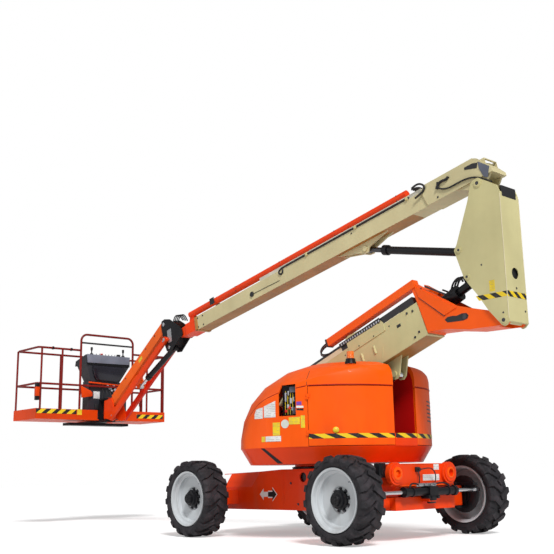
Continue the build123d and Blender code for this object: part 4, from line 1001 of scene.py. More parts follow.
@dataclass(frozen=True)
class Steering:
    """Clamps, hoses and guards of the steered axle."""

    frame: dict
    x: float = 1.512
    z: float = 0.505

    def build(self) -> int:
        """Dress the steering gear.

        Returns:
            Number of hoses.
        """
        parts = Shape()
        x, z = self.x, self.z
        for y in (-0.3, 0.3):
            parts.lathe([(0.0428, -0.012), (0.05, -0.012), (0.052, -0.006), (0.052, 0.006), (0.05, 0.012),
                         (0.0428, 0.012)], (x, y, z), (0, 1, 0), 32)
        parts.box((x - 0.05, -0.095, z - 0.075), (x + 0.062, 0.095, z - 0.04), 0.008)
        parts.bolt((x + 0.062, -0.05, z - 0.058), (1, 0, 0), 0.013).bolt((x + 0.062, 0.05, z - 0.058),
                                                                       (1, 0, 0), 0.013)
        parts.prism([(x - 0.02, z - 0.07), (x + 0.05, z - 0.07), (x + 0.03, z - 0.125), (x, z - 0.125)],
                    -0.055, 0.055, radius=0.004)
        parts.finish("cylinder_clamps", "chassis", BLACK)
        runs = (((x, -0.33, z + 0.04), (x, -0.33, z + 0.085), (x - 0.01, -0.27, z + 0.1),
                 (x + 0.01, -0.2, z + 0.074)),
                ((x, 0.33, z + 0.04), (x, 0.33, z + 0.085), (x - 0.01, 0.22, z + 0.1),
                 (x + 0.01, 0.075, z + 0.074)))
        hoses = Shape()
        for run in runs:
            hoses.rod(run[0], Vector(run[0]) + Vector((0, 0, 0.022)), 0.012, 6, 0.001)
            hoses.hose(run, 0.009)
        hoses.finish("steer_hoses", "chassis", HOSE)
        for side in Side:
            name = side.name.lower()
            centre = pivot(self.frame, "steer_" + name)
            guard = Shape()
            inward = Vector((0.0, -side.value, 0.0))
            hub = Vector((centre.x, side.value * 1.0675, 0.45))
            guard.lathe([(0.066, 0.0), (0.205, 0.0), (0.212, 0.006), (0.2, 0.016), (0.12, 0.03),
                         (0.066, 0.03)], hub + inward * 0.112, inward, 40)
            guard.ring_of_bolts(hub + inward * 0.126, inward, 0.165, 8, 0.009)
            guard.finish("hub_guard_" + name, "knuckle_" + name, BLACK)
        return len(runs)


# ---------------------------------------------------------------- hood
@dataclass(frozen=True)
class Hood:
    """Painted shadow lines along the seams, labels, warning band, window controls, painted shade on the
    slot's walls, and lamp base of the hood.
    """

    frame: dict
    radius: float = 1.235
    band: tuple[float, float] = (1.085, 1.135)
    slot_half: float = 0.186
    window_deg: float = -66.5
    crease: tuple[tuple[float, float], ...] = (
        (108.3, 1.0655), (101.8, 1.2295), (94.35, 1.3775), (87.1, 1.4875), (79.6, 1.5515), (71.6, 1.5975),
        (60.9, 1.6395), (56.2, 1.656))

    def _bead(self, skin: Skin, path: Sequence[tuple[float, float]], radius: float, name: str,
              finish: Finish, steps: int = 6) -> None:
        """Lay a thin bead on the surface along (degrees, z) points.

        Args:
            skin: Surface to lie on.
            path: Points of the run.
            radius: Radius of the bead.
            name: Name of the piece.
            finish: Its finish.
            steps: Points between neighbours.
        """
        spots = []
        for (a, za), (b, zb) in zip(path, path[1:]):
            shares = [k / steps for k in range(steps)]
            spots += [skin.round_spot(a + (b - a) * t, za + (zb - za) * t) for t in shares]
        spots.append(skin.round_spot(*path[-1]))
        Shape().hose(spots, radius, 4).finish(name, "turntable", finish)

    def _seams(self, skin: Skin) -> None:
        """Painted shadow lines in the crease and above the doors, and a black joint line above each door's
        end, on both flanks.
        """
        for side in Side:
            s, name = side.value, side.name.lower()
            run = [(s * a, z) for a, z in self.crease]
            if side is Side.LEFT:
                self._bead(skin, run[:5] + [(-71.6, 1.5975)], 0.0055, "crease_front_left", SEAM_SHADOW)
                self._bead(skin, [(-61.2, 1.638), (-56.2, 1.656)], 0.0055, "crease_rear_left", SEAM_SHADOW)
            else:
                self._bead(skin, run, 0.0055, "crease_right", SEAM_SHADOW)
            self._bead(skin, [(s * 55.3, 1.661), (s * 37.4, 1.664), (s * 9.1, 1.661)], 0.006,
                       "roof_seal_" + name, SEAM_SHADOW, 10)
            self._bead(skin, [(s * 55.7, 1.66), (s * 55.9, 1.84)], 0.003, "roof_joint_" + name, BLACK_FILM)

    def _band(self, skin: Skin) -> None:
        """Warning band round the rear, split where the doors end."""
        edge = math.degrees(math.asin((self.slot_half + 0.007) / self.radius))
        low, top = self.band
        runs = (("left", -55.1, -edge, "door_left"), ("sill", 0.6 - edge, edge - 0.6, "turntable"),
                ("right", edge, 55.1, "door_right"))
        for name, a, b, body in runs:
            cells = max(6, int((b - a) / 1.5))
            tape = skin.patch([(a, top), (b, top), (b, low), (a, low)], 0.0012, 0.0008, cells, 2)
            tape.finish("warning_band_" + name, body, HOOD_TAPE, 60)

    def _labels(self, skin: Skin) -> None:
        """Blank plates and stickers of the near flank."""
        table = (
            ("label_pale_a", WHITE_FILM, (-87.2, 1.43), (-81.3, 1.448), (-81.3, 1.326), (-87.2, 1.326)),
            ("label_pale_b", WHITE_FILM, (-80.5, 1.458), (-73.2, 1.512), (-73.2, 1.332), (-80.5, 1.332)),
            ("label_yellow_a", YELLOW_FILM, (-75.0, 1.273), (-70.7, 1.273), (-70.7, 1.132), (-75.0, 1.132)),
            ("label_yellow_b", YELLOW_FILM, (-65.6, 1.322), (-59.6, 1.325), (-59.6, 1.245), (-65.6, 1.245)),
            ("label_yellow_c", YELLOW_FILM, (-59.2, 1.338), (-57.0, 1.338), (-57.0, 1.205), (-59.2, 1.205)),
            ("label_violet", VIOLET_FILM, (-61.3, 1.489), (-58.6, 1.489), (-58.6, 1.452), (-61.3, 1.452)),
            ("label_bars", BLACK_FILM, (-61.3, 1.415), (-57.6, 1.412), (-57.6, 1.392), (-61.3, 1.398)),
            ("label_pale_c", PLAIN_WHITE, (-61.4, 1.447), (-57.6, 1.442), (-57.6, 1.42), (-61.4, 1.422)),
            ("strip_pale", WHITE_FILM, (-79.6, 1.127), (-70.2, 1.127), (-70.2, 1.068), (-79.6, 1.068)),
            ("strip_yellow", YELLOW_FILM, (-82.3, 1.127), (-80.0, 1.127), (-80.0, 1.068), (-82.3, 1.068)),
            ("skirt_strap", BLACK, (-83.2, 0.998), (-80.8, 0.998), (-72.2, 0.832), (-75.6, 0.832)),
        )
        for name, finish, *corners in table:
            skin.patch(corners, 0.0014, 0.001, 5, 4).finish(name, "turntable", finish, 60)
        seat = skin.round_spot(-67.8, 1.254, 0.0008)
        out = Vector((seat.x, seat.y, 0.0)).normalized()
        Shape().lathe([(0.0, 0.0), (0.047, 0.0), (0.047, 0.0014), (0.0, 0.0014)], seat, out, 32).finish(
            "label_round", "turntable", PALE_TAG)
        seat = skin.round_spot(-41.4, 1.173)
        out = Vector((seat.x, seat.y, 0.0)).normalized()
        Shape().lathe([(0.0, -0.002), (0.034, -0.002), (0.034, 0.006), (0.026, 0.016), (0.012, 0.021),
                       (0.0, 0.022)], seat, out, 28).finish("door_latch", "door_left", YELLOW_FILM)

    def _window(self, skin: Skin) -> None:
        """Controls behind the window, the edge of its opening, a black panel behind the controls and a black
        sheet deeper in, painted shade of the hood's inside.
        """
        a = math.radians(self.window_deg)
        out = Vector((math.cos(a), math.sin(a), 0.0))
        across = Vector((-math.sin(a), math.cos(a), 0.0))
        place = Matrix((across, -out, Vector((0, 0, 1)))).transposed().to_4x4()
        face = Matrix.Translation(out * 1.1355) @ place
        edge = Shape()
        ring = [(-71.0, 1.345), (-71.0, 1.515), (-71.0, 1.68), (-66.5, 1.68), (-62.0, 1.68), (-62.0, 1.515),
                (-62.0, 1.345), (-66.5, 1.345), (-71.0, 1.345)]
        spots = [skin.round_spot(d - 0.35 * math.copysign(1, d - self.window_deg), z, -0.004)
                 for d, z in ring]
        for start, end in zip(spots, spots[1:]):
            edge.rod(start, end, 0.006, 10)
        edge.finish("window_edge", "turntable", BLACK)
        # The black panel carries the controls; the black sheet 10 cm further in is painted shade of the
        # hood's inside.
        Shape().box((-0.094, -0.004, 1.35), (0.094, 0.0, 1.674), 0.0, face).box(
            (-0.13, 0.1, 1.3), (0.17, 0.11, 1.71), 0.0, face).finish("window_backing", "turntable", BLACK)
        pale = Shape()
        keys = ((-0.06, 0.016, 1.5, 1.6), (-0.035, 0.022, 1.43, 1.47), (0.0, 0.024, 1.48, 1.54),
                (0.04, 0.016, 1.5, 1.55), (-0.025, 0.014, 1.57, 1.62), (0.02, 0.014, 1.4, 1.44))
        for u, w, z0, z1 in keys:
            pale.box((u, -0.024, z0), (u + w, -0.003, z1), 0.004, face)
        pale.finish("lower_panel_keys", "turntable", PALE_PLASTIC)
        boxes = Shape().box((0.0, -0.03, 1.6), (0.085, -0.003, 1.665), 0.006, face)
        boxes.box((0.03, -0.02, 1.36), (0.088, -0.003, 1.44), 0.006, face)
        boxes.finish("lower_panel_box", "turntable", SLATE)
        red = Shape()
        for u, z in ((-0.05, 1.395), (-0.005, 1.43)):
            seat = face @ Vector((u, -0.004, z))
            red.lathe([(0.0, 0.0), (0.016, 0.0), (0.017, 0.014), (0.012, 0.02), (0.0, 0.021)], seat, out, 20)
        red.finish("lower_panel_buttons", "turntable", RED_FILM)
        wires = Shape()
        for k in range(4):
            u = -0.06 + 0.03 * k
            bends = ((u, -0.008, 1.36), (u + 0.004, -0.02, 1.42), (u + 0.002, -0.018, 1.52),
                     (u + 0.006, -0.006, 1.62))
            wires.hose([face @ Vector(p) for p in bends], 0.0035, 4)
        wires.finish("lower_panel_wires", "turntable", YELLOW_FILM)

    def _slot(self) -> None:
        """Painted shade on the slot's walls: a dark red sheet on the far wall and a black sheet on the near
        one.
        """
        wall = [(0.42, 1.045), (1.195, 1.045), (1.198, 1.62), (1.19, 1.74), (1.165, 1.81), (1.12, 1.865),
                (1.06, 1.9), (0.96, 1.92), (0.42, 1.93)]
        y = self.slot_half
        Shape().prism(wall, y - 0.0015, y - 0.0003).finish("slot_lining_right", "turntable", SLOT_SHADE)
        Shape().prism(wall, 0.0003 - y, 0.0015 - y).finish("slot_lining_left", "turntable", BLACK)

    def _lamp(self) -> None:
        """Black flared base of the warning lamp."""
        base = Shape()
        base.lathe([(0.0525, -0.02), (0.066, -0.02), (0.062, -0.004), (0.0555, 0.02), (0.0535, 0.036),
                    (0.0425, 0.038), (0.0425, 0.033), (0.0525, 0.031)], (0.88, -0.5, 1.937), (0, 0, 1), 36)
        base.finish("lamp_base", "turntable", BLACK)

    def _vents(self, skin: Skin) -> None:
        """Cooling slots in the engine-side door."""
        for k in range(6):
            z = 1.28 + 0.045 * k
            corners = [(24.0, z + 0.016), (42.0, z + 0.016), (42.0, z), (24.0, z)]
            slot = skin.patch(corners, 0.0008, 0.001, 10, 1)
            slot.finish(f"door_vent_{k}", "door_right", BLACK_FILM, 60)

    def build(self) -> int:
        """Dress the hood.

        Returns:
            Number of warning bands.
        """
        skin = Skin(self.frame, ("hood_left", "hood_right", "door_left", "door_right", "turntable_frame"))
        self._seams(skin)
        self._band(skin)
        self._labels(skin)
        self._window(skin)
        self._slot()
        self._lamp()
        self._vents(skin)
        return 3


# ---------------------------------------------------------------- flat flanks
def heading(degrees: float) -> Point:
    """Direction at an angle above +X in the upright plane."""
    return (math.cos(math.radians(degrees)), 0.0, math.sin(math.radians(degrees)))


TOWER = Slope.through((-0.8, 0.0, 1.471), heading(20.0))
BOOM = Slope.through((2.518, 0.0, 3.695), heading(191.0))
JIB = Slope.through((-3.4, 0.0, 2.985), heading(215.77))


@dataclass(frozen=True)
class Flank:
    """Small pieces that lie on the flat flanks of an upright-plane structure."""

    skin: Skin
    side: Side = Side.LEFT

    @property
    def out(self) -> Vector:
        """Outward direction."""
        return Vector((0.0, self.side.value, 0.0))

    def seat(self, x: float, z: float) -> Vector:
        """Point of the flank at a place of the upright plane.

        Args:
            x: Place along the machine.
            z: Height.

        Returns:
            The point on the surface.
        """
        found = self.skin.touch(Vector((x, self.side.value * 2.4, z)), -self.out)
        if found is None:
            LOG.info("no flank at %.3f %.3f", x, z)
            return Vector((x, 0.0, z))
        return found[0]

    def film(self, shape: Shape, outline: Sequence[tuple[float, float]], thick: float = 0.0012,
             at: Optional[tuple[float, float]] = None) -> Shape:
        """Add a thin plate on the flank.

        Args:
            shape: Shape that grows.
            outline: Corners (x, z).
            thick: Its thickness.
            at: Where to read the surface, if not at the middle.

        Returns:
            The shape.
        """
        x, z = at or (sum(p[0] for p in outline) / len(outline), sum(p[1] for p in outline) / len(outline))
        y = self.seat(x, z).y
        return shape.prism(outline, y, y + self.side.value * thick)

    def disc(self, shape: Shape, x: float, z: float, radius: float, height: float = 0.002,
             sides: int = 24) -> Shape:
        """Add a round disc on the flank."""
        seat = self.seat(x, z)
        return shape.rod(seat - self.out * 0.001, seat + self.out * height, radius, sides,
                         min(0.003, height * 0.4))

    def bolts(self, shape: Shape, spots: Iterable[tuple[float, float]], radius: float = 0.011) -> Shape:
        """Add bolts on the flank."""
        for x, z in spots:
            shape.bolt(self.seat(x, z), self.out, radius)
        return shape

    def line(self, shape: Shape, path: Sequence[tuple[float, float]], radius: float) -> Shape:
        """Add a bead along the flank."""
        for (xa, za), (xb, zb) in zip(path, path[1:]):
            y = self.seat((xa + xb) / 2, (za + zb) / 2).y
            shape.rod((xa, y, za), (xb, y, zb), radius, 8)
        return shape


def flanks(frame: dict, *nodes: str) -> list[tuple[Flank, str]]:
    """Both flanks of some solids, each with its side's name."""
    skin = Skin(frame, nodes)
    return [(Flank(skin, side), side.name.lower()) for side in Side]


def flat(slope: Slope, spots: Iterable[tuple[float, float]]) -> list[tuple[float, float]]:
    """Places (x, z) of points (s, n) of a slope."""
    return [(slope.at(s, n).x, slope.at(s, n).z) for s, n in spots]


# ---------------------------------------------------------------- tower and its head
@dataclass(frozen=True)
class Tower:
    """Chain, seams, bolts and hoses of the folding tower."""

    frame: dict

    def _base(self) -> None:
        """Trim on the fixed section, and painted shade on its underside."""
        for flank, name in flanks(self.frame, "tower_base"):
            trim = Shape()
            flank.line(trim, [(1.07, 2.12), (1.05, 1.98)], 0.004)
            for s in (1.849, 1.642):
                flank.line(trim, flat(TOWER, [(s, -0.06), (s, 0.04)]), 0.015)
            trim.finish("tower_ridges_" + name, "tower", CREAM)
            bolts = Shape()
            flank.bolts(bolts, flat(TOWER, [(2.523, 0.135), (2.514, -0.122), (2.44, 0.15), (2.44, -0.15)]))
            bolts.finish("tower_bolts_" + name, "tower", DARK_STEEL)
            dark = Shape()
            flank.film(dark, flat(TOWER, [(2.25, 0.06), (2.31, 0.06), (2.31, 0.095), (2.25, 0.095)]))
            for s in (0.9, 1.15, 1.4, 1.65, 1.9, 2.15):
                flank.disc(dark, *flat(TOWER, [(s, 0.14)])[0], 0.009)
            dark.finish("tower_marks_" + name, "tower", BLACK_FILM)
        # Brown film on the tower's underside: painted shade.
        under = Shape().box((0.3, -0.135, -0.2012), (2.58, 0.135, -0.2003), 0.0, TOWER.matrix())
        under.finish("tower_underside", "tower", BROWN_UNDER_SHADE)

    def _chain(self) -> None:
        """Links of the hose chain beside its track."""
        flank = Flank(Skin(self.frame, ("tower_track", "tower_base")))
        links, edge, strip = Shape(), Shape(), Shape()
        flank.film(strip, flat(TOWER, [(1.36, 0.262), (2.06, 0.245), (2.06, 0.3), (1.36, 0.305)]), 0.0012,
                   flat(TOWER, [(1.7, 0.25)])[0])
        strip.finish("tower_chain_shadow", "tower", BLACK_FILM)
        flank.film(edge, flat(TOWER, [(0.25, 0.2), (1.37, 0.2), (1.37, 0.262), (0.25, 0.262)]), 0.0012,
                   flat(TOWER, [(0.8, 0.23)])[0])
        seat = flank.seat(*flat(TOWER, [(1.7, 0.25)])[0])
        for k in range(17):
            place = TOWER.matrix(1.4 + 0.04 * k, 0.281 - 0.001 * k, seat.y)
            links.box((-0.009, -0.004, -0.013), (0.009, 0.0, 0.013), 0.003, place)
        links.finish("tower_chain_links", "tower", PALE_PLASTIC)
        edge.box((0.75, -0.012, 0.0), (2.35, -0.002, 0.006), 0.001, TOWER.matrix(0.0, 0.2, -0.139))
        edge.finish("tower_edge_strip", "tower", CREAM_TRIM)

    def _hoses(self) -> None:
        """Hose loops at the tail of the head's tube, and their clamp."""
        black, white = Shape(), Shape()
        for k, y in enumerate((-0.15, -0.13, -0.11, -0.09)):
            reach = 0.02 * k
            run = [TOWER.at(1.22, 0.41, y), TOWER.at(1.13 - reach, 0.42, y), TOWER.at(1.04 - reach, 0.39, y),
                   TOWER.at(1.03 - reach, 0.33, y), TOWER.at(1.1, 0.29, y), TOWER.at(1.19, 0.275, y)]
            (white if k == 1 else black).hose(run, 0.009, 5)
        clamp = TOWER.matrix(1.185, 0.41, -0.118)
        black.box((-0.012, -0.052, -0.05), (0.012, 0.052, 0.05), 0.004, clamp)
        black.finish("tower_hose_loops", "tower_fly", HOSE)
        arcs = Shape()
        for k in range(3):
            y, up = -0.055 + 0.05 * k, 0.015 * k
            arcs.hose([(2.0, y, 2.6), (2.01, y, 2.68 + up), (2.07, y, 2.75 + up), (2.14, y, 2.76 + up),
                       (2.165, y, 2.7)], 0.011)
        arcs.finish("level_hose_arcs", "level_ram_barrel", HOSE)
        white.finish("tower_hose_pale", "tower_fly", PALE_PLASTIC)

    def _head(self) -> None:
        """Raised plate, black mouth, a painted shadow line under the plate, and pins of the bent head."""
        for flank, name in flanks(self.frame, "tower_fly"):
            plate = Shape()
            outline = [(1.63, 2.6), (1.964, 2.35), (2.13, 2.412), (1.575, 2.74)]
            flank.film(plate, outline, 0.009, (1.8, 2.5))
            plate.finish("head_plate_" + name, "tower_fly", ORANGE)
            dark = Shape()
            mouth = [(1.963, 2.3), (2.0, 2.267), (2.2, 2.26), (2.262, 2.275), (2.277, 2.305), (2.25, 2.335),
                     (2.19, 2.338), (2.12, 2.322), (2.07, 2.33), (2.0, 2.326)]
            strip = [(1.72, 2.70), (1.995, 2.565), (1.999, 2.585), (1.73, 2.716)]
            flank.film(dark, mouth, 0.0015, (2.1, 2.29))
            flank.film(dark, strip, 0.0105, (1.8, 2.5))
            # Thin black film under the raised plate: a painted shadow line.
            shadow = [(1.622, 2.598), (1.96, 2.34), (1.97, 2.346), (1.64, 2.606)]
            flank.film(dark, shadow, 0.007, (1.8, 2.46))
            dark.finish("head_mouth_" + name, "tower_fly", BLACK_FILM)
            pins = Shape()
            flank.disc(pins, 2.226, 2.3, 0.03, 0.008)
            flank.bolts(pins, [(1.66, 2.69)], 0.01)
            pins.rod((2.722, flank.out.y * 0.148, 2.192), (2.722, flank.out.y * 0.156, 2.192), 0.03, 20)
            pins.finish("head_pins_" + name, "tower_fly", DARK_STEEL)

    def build(self) -> int:
        """Dress the tower.

        Returns:
            Number of flanks.
        """
        self._base()
        self._chain()
        self._hoses()
        self._head()
        return 2


# ---------------------------------------------------------------- upright
@dataclass(frozen=True)
class Upright:
    """Pins, plates, warning bands and flap of the upright between tower and boom."""

    frame: dict
    back: float = 2.785

    def build(self) -> int:
        """Dress the upright.

        Returns:
            Number of pins a side.
        """
        pins = ((2.518, 3.695), (2.223, 3.019), (2.308, 2.71), (2.722, 2.192))
        for flank, name in flanks(self.frame, "upright"):
            dark = Shape()
            for (x, z), r in zip(pins, (0.02, 0.013, 0.013, 0.02)):
                flank.disc(dark, x, z, r, 0.006)
            for x, z in ((2.496, 2.807), (2.719, 2.27)):
                flank.disc(dark, x, z, 0.01)
            dark.finish("upright_pins_" + name, "upright", DARK_STEEL)
            rims = Shape()
            for (x, z), r in zip(pins, (0.034, 0.026, 0.026, 0.034)):
                seat = flank.seat(x, z)
                ring = [(r * 0.62, -0.001), (r, -0.001), (r, 0.004), (r * 0.62, 0.004)]
                rims.lathe(ring, seat, flank.out, 32)
            rims.finish("upright_bosses_" + name, "upright", CREAM)
            tape = Shape()
            band = [(2.436, 2.432), (2.776, 2.432), (2.776, 2.487), (2.4, 2.487)]
            flank.film(tape, band, 0.001, (2.65, 2.46))
            tape.finish("upright_band_" + name, "upright", POST_TAPE)
            tag = Shape()
            flank.film(tag, [(2.576, 2.507), (2.642, 2.507), (2.642, 2.624), (2.576, 2.624)], 0.0012)
            tag.finish("upright_tag_" + name, "upright", YELLOW_FILM)
            fold = Shape()
            y = flank.out.y * 0.1715
            fold.rod((2.781, y, 2.2), (2.781, y, 3.52), 0.004, 8)
            fold.finish("upright_fold_" + name, "upright", CREAM_TRIM)
        behind = facing_x(self.back)
        band = Shape().prism([(-0.168, 2.43), (0.168, 2.43), (0.168, 2.489), (-0.168, 2.489)], -0.0008, 0.0,
                             behind)
        band.finish("upright_band_back", "upright", BACK_TAPE)
        dots = Shape()
        for y, z in ((0.002, 2.53), (0.13, 2.3)):
            dots.rod((self.back - 0.004, y, z), (self.back + 0.0008, y, z), 0.012, 20)
        dots.finish("upright_back_bolts", "upright", DARK_STEEL)
        flap = Shape().box((self.back - 0.03, -0.13, 3.5), (self.back - 0.004, 0.13, 3.62), 0.004)
        flap.rod((self.back - 0.05, 0.0, 2.687), (self.back - 0.03, 0.0, 2.687), 0.09, 32)
        flap.finish("upright_flap", "upright", HOSE)
        return len(pins)


# ---------------------------------------------------------------- main boom
@dataclass(frozen=True)
class MainBoom:
    """Cover patches, hoses, straps, wear-pad bolts and head of the main boom."""

    frame: dict
    half: float = 0.115

    def _head(self) -> None:
        """Dark window, slate box and hoses on the near side of the boom's rear end."""
        flank = Flank(Skin(self.frame, ("main_boom",)))
        patch = Shape()
        flank.film(patch, flat(BOOM, [(0.135, 0.265), (0.139, 0.238), (-0.015, 0.184), (-0.04, 0.24),
                                      (0.02, 0.262)]), 0.002, flat(BOOM, [(0.08, 0.23)])[0])
        patch.finish("boom_window", "main_boom", BLACK_FILM)
        box = Shape()
        slate = [(-0.046, 0.25), (-0.167, 0.137), (-0.119, 0.023), (-0.072, 0.053), (-0.04, 0.171)]
        flank.film(box, flat(BOOM, slate), 0.004, flat(BOOM, [(-0.02, 0.15)])[0])
        box.finish("boom_end_plate", "main_boom", SLATE)
        y = flank.seat(*flat(BOOM, [(0.3, 0.16)])[0]).y - 0.012
        runs = (
            ((0.353, 0.26), (0.372, 0.236), (0.43, 0.245), (0.476, 0.252), (0.51, 0.225), (0.537, 0.189)),
            ((0.863, 0.352), (0.8, 0.37), (0.735, 0.36), (0.68, 0.3), (0.7, 0.255), (0.76, 0.235),
             (0.844, 0.218)),
            ((0.505, 0.265), (0.543, 0.2), (0.427, 0.128), (0.3, 0.13), (0.151, 0.132), (-0.002, 0.094),
             (-0.1, 0.0), (-0.16, -0.05)),
        )
        lines = Shape()
        for run, r in zip(runs, (0.015, 0.012, 0.009)):
            lines.hose([BOOM.at(s, n, y) for s, n in run], r)
        lines.finish("boom_s_hoses", "main_boom", HOSE)

    def _sides(self) -> None:
        """Pad bolts, cable line and marks along both flanks, and painted shade on the underside."""
        for flank, name in flanks(self.frame, "main_boom"):
            bolts = Shape()
            spots = [(s, n) for s in (4.96, 5.08) for n in (0.1, 0.235)] + [(0.55, 0.1), (1.9, 0.235)]
            flank.bolts(bolts, flat(BOOM, spots), 0.009)
            bolts.finish("boom_bolts_" + name, "main_boom", DARK_STEEL)
            cable = Shape()
            y = flank.side.value * (self.half + 0.003)
            cable.hose([BOOM.at(3.264, 0.135, y), BOOM.at(3.5, 0.14, y), BOOM.at(3.837, 0.15, y)], 0.0035, 4)
            flank.disc(cable, *flat(BOOM, [(3.837, 0.15)])[0], 0.036, 0.014)
            cable.rod(BOOM.at(0.95, 0.283, y), BOOM.at(3.1, 0.283, y), 0.013, 12, 0.003)
            bends = ((3.05, 0.283), (3.2, 0.29), (3.27, 0.255), (3.24, 0.2), (3.17, 0.205), (3.18, 0.26))
            cable.hose([BOOM.at(s, n, y) for s, n in bends], 0.012)
            cable.finish("boom_cable_" + name, "main_boom", HOSE)
            straps = Shape()
            for s in (0.98, 1.818, 2.7):
                straps.box((s - 0.02, y - 0.016, 0.262), (s + 0.02, y + 0.016, 0.303), 0.004,
                           BOOM.matrix() @ Matrix.Scale(-1.0, 4, (0.0, 1.0, 0.0)))
            bmesh.ops.recalc_face_normals(straps.bm, faces=straps.bm.faces)
            straps.finish("boom_straps_" + name, "main_boom", CREAM)
            edge = Shape()
            y = flank.side.value * 0.113
            edge.rod(BOOM.at(0.62, 0.2665, y), BOOM.at(5.15, 0.2665, y), 0.003, 8)
            edge.finish("boom_edge_" + name, "main_boom", CREAM_TRIM)
        # Brown film on the boom's underside: painted shade.
        under = Shape().box((0.95, -0.108, 0.0668), (5.12, 0.108, 0.0677), 0.0, BOOM.matrix())
        under.finish("boom_underside", "main_boom", BROWN_UNDER_SHADE)

    def _mouth(self) -> None:
        """Collar at the mouth of the boom, in the brown of the painted underside shade."""
        collar = Shape()
        place = BOOM.matrix()
        walls = ((-0.123, 0.264, 0.123, 0.275), (-0.123, 0.061, 0.123, 0.072),
                 (-0.123, 0.061, -0.114, 0.275), (0.114, 0.061, 0.123, 0.275))
        for y0, n0, y1, n1 in walls:
            collar.box((5.09, y0, n0), (5.148, y1, n1), 0.002, place)
        collar.finish("boom_mouth_collar", "main_boom", BROWN_UNDER_SHADE)

    def build(self) -> int:
        """Dress the main boom.

        Returns:
            Number of flanks.
        """
        self._head()
        self._sides()
        self._mouth()
        return 2


@dataclass(frozen=True)
class FlyBoom:
    """Bolts of the hose tube's clamps, a clip and the hoses at its tail."""

    frame: dict

    def build(self) -> int:
        """Dress the sliding boom.

        Returns:
            Number of clamps.
        """
        flank = Flank(Skin(self.frame, ("hose_tube",)))
        clamps = (1.15, 2.2, 3.25, 4.2, 4.74)
        bands = Shape()
        for s in clamps:
            for n in (0.34, 0.4):
                flank.bolts(bands, flat(BOOM, [(s, n)]), 0.007)
        bands.finish("tube_clamp_bolts", "fly_boom", DARK_STEEL)
        low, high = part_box("hose_tube")
        clip = Shape()
        for y in (low[1] - 0.006, high[1]):
            clip.box((4.68, -y - 0.006, 0.33), (4.78, -y, 0.425), 0.002, BOOM.matrix())
        clip.finish("tube_clip", "fly_boom", HOSE)
        ends = Shape()
        for k in range(3):
            y = -0.06 + 0.03 * k
            ends.hose([BOOM.at(0.93, 0.385, y), BOOM.at(0.86, 0.39, y), BOOM.at(0.8, 0.36 - 0.01 * k, y),
                       BOOM.at(0.79, 0.335, y)], 0.009)
        ends.finish("tube_tail_hoses", "fly_boom", HOSE)
        return len(clamps)


# ---------------------------------------------------------------- jib
@dataclass(frozen=True)
class Jib:
    """Hoses, pins and plates of the boom's nose and of the jib.

    The jib turns on pin and its lower link on link, both (x, z); reach is the jib's length between pins.
    """

    frame: dict
    pin: tuple[float, float] = (-3.4, 2.985)
    link: tuple[float, float] = (-3.31, 2.735)
    reach: float = 1.83

    def _nose(self) -> None:
        """Pins and hoses of the gooseneck."""
        for flank, name in flanks(self.frame, "gooseneck"):
            pins = Shape()
            for (x, z), r in ((self.pin, 0.032), (self.link, 0.026), ((-3.24, 2.615), 0.026)):
                flank.disc(pins, x, z, r, 0.006)
            pins.finish("nose_pins_" + name, "gooseneck", ZINC)
        plate = Shape()
        flank = Flank(Skin(self.frame, ("gooseneck",)))
        flank.film(plate, [(-3.3, 2.87), (-3.2, 2.9), (-3.17, 2.7), (-3.26, 2.68)], 0.003, (-3.235, 2.79))
        plate.finish("nose_plate", "gooseneck", ZINC)
        loops = Shape()
        for k in range(4):
            y = -0.045 + 0.03 * k
            loops.hose([(-2.98, y, 3.0), (-3.04, y, 3.07 + 0.008 * k), (-3.13, y, 3.11 + 0.008 * k),
                        (-3.2, y, 3.08), (-3.22, y, 3.0)], 0.0085)
        loops.finish("nose_hose_loops", "gooseneck", HOSE)

    def _arm(self) -> None:
        """Hose run, clamps and end bolts of the jib arm."""
        flank = Flank(Skin(self.frame, ("jib_arm",)))
        hoses = Shape()
        for k in range(3):
            y = -0.03 + 0.03 * k
            hoses.hose([JIB.at(0.1, 0.092, y), JIB.at(0.5, 0.094, y), JIB.at(1.2, 0.094, y),
                        JIB.at(1.7, 0.092, y)], 0.009)
        for s in (0.35, 0.8, 1.25, 1.62):
            hoses.box((s - 0.012, -0.055, 0.079), (s + 0.012, 0.055, 0.108), 0.003, JIB.matrix())
        hoses.finish("jib_hoses", "jib_arm", HOSE)
        bolts = Shape()
        flank.bolts(bolts, flat(JIB, [(0.3, 0.04), (0.6, 0.04), (1.3, 0.04)]), 0.009)
        bolts.finish("jib_bolts", "jib_arm", DARK_STEEL)
        mark = Shape()
        flank.film(mark, flat(JIB, [(0.75, -0.02), (0.86, -0.02), (0.86, 0.03), (0.75, 0.03)]))
        mark.finish("jib_label", "jib_arm", YELLOW_FILM)

    def _links(self) -> None:
        """Pin caps of the lower links."""
        for flank, name in flanks(self.frame, "jib_link_left", "jib_link_right"):
            caps = Shape()
            foot = JIB.at(self.reach, 0.0)
            x, z = self.link
            for way, dx, dz in ((1, 0.0, 0.0), (-1, foot.x - self.pin[0], foot.z - self.pin[1])):
                flank.disc(caps, x + dx - 0.032 * way, z + dz - 0.024 * way, 0.012, 0.006)
            caps.finish("link_caps_" + name, "jib_links", ZINC)

    def build(self) -> int:
        """Dress the jib.

        Returns:
            Number of hose runs.
        """
        self._nose()
        self._arm()
        self._links()
        return 3


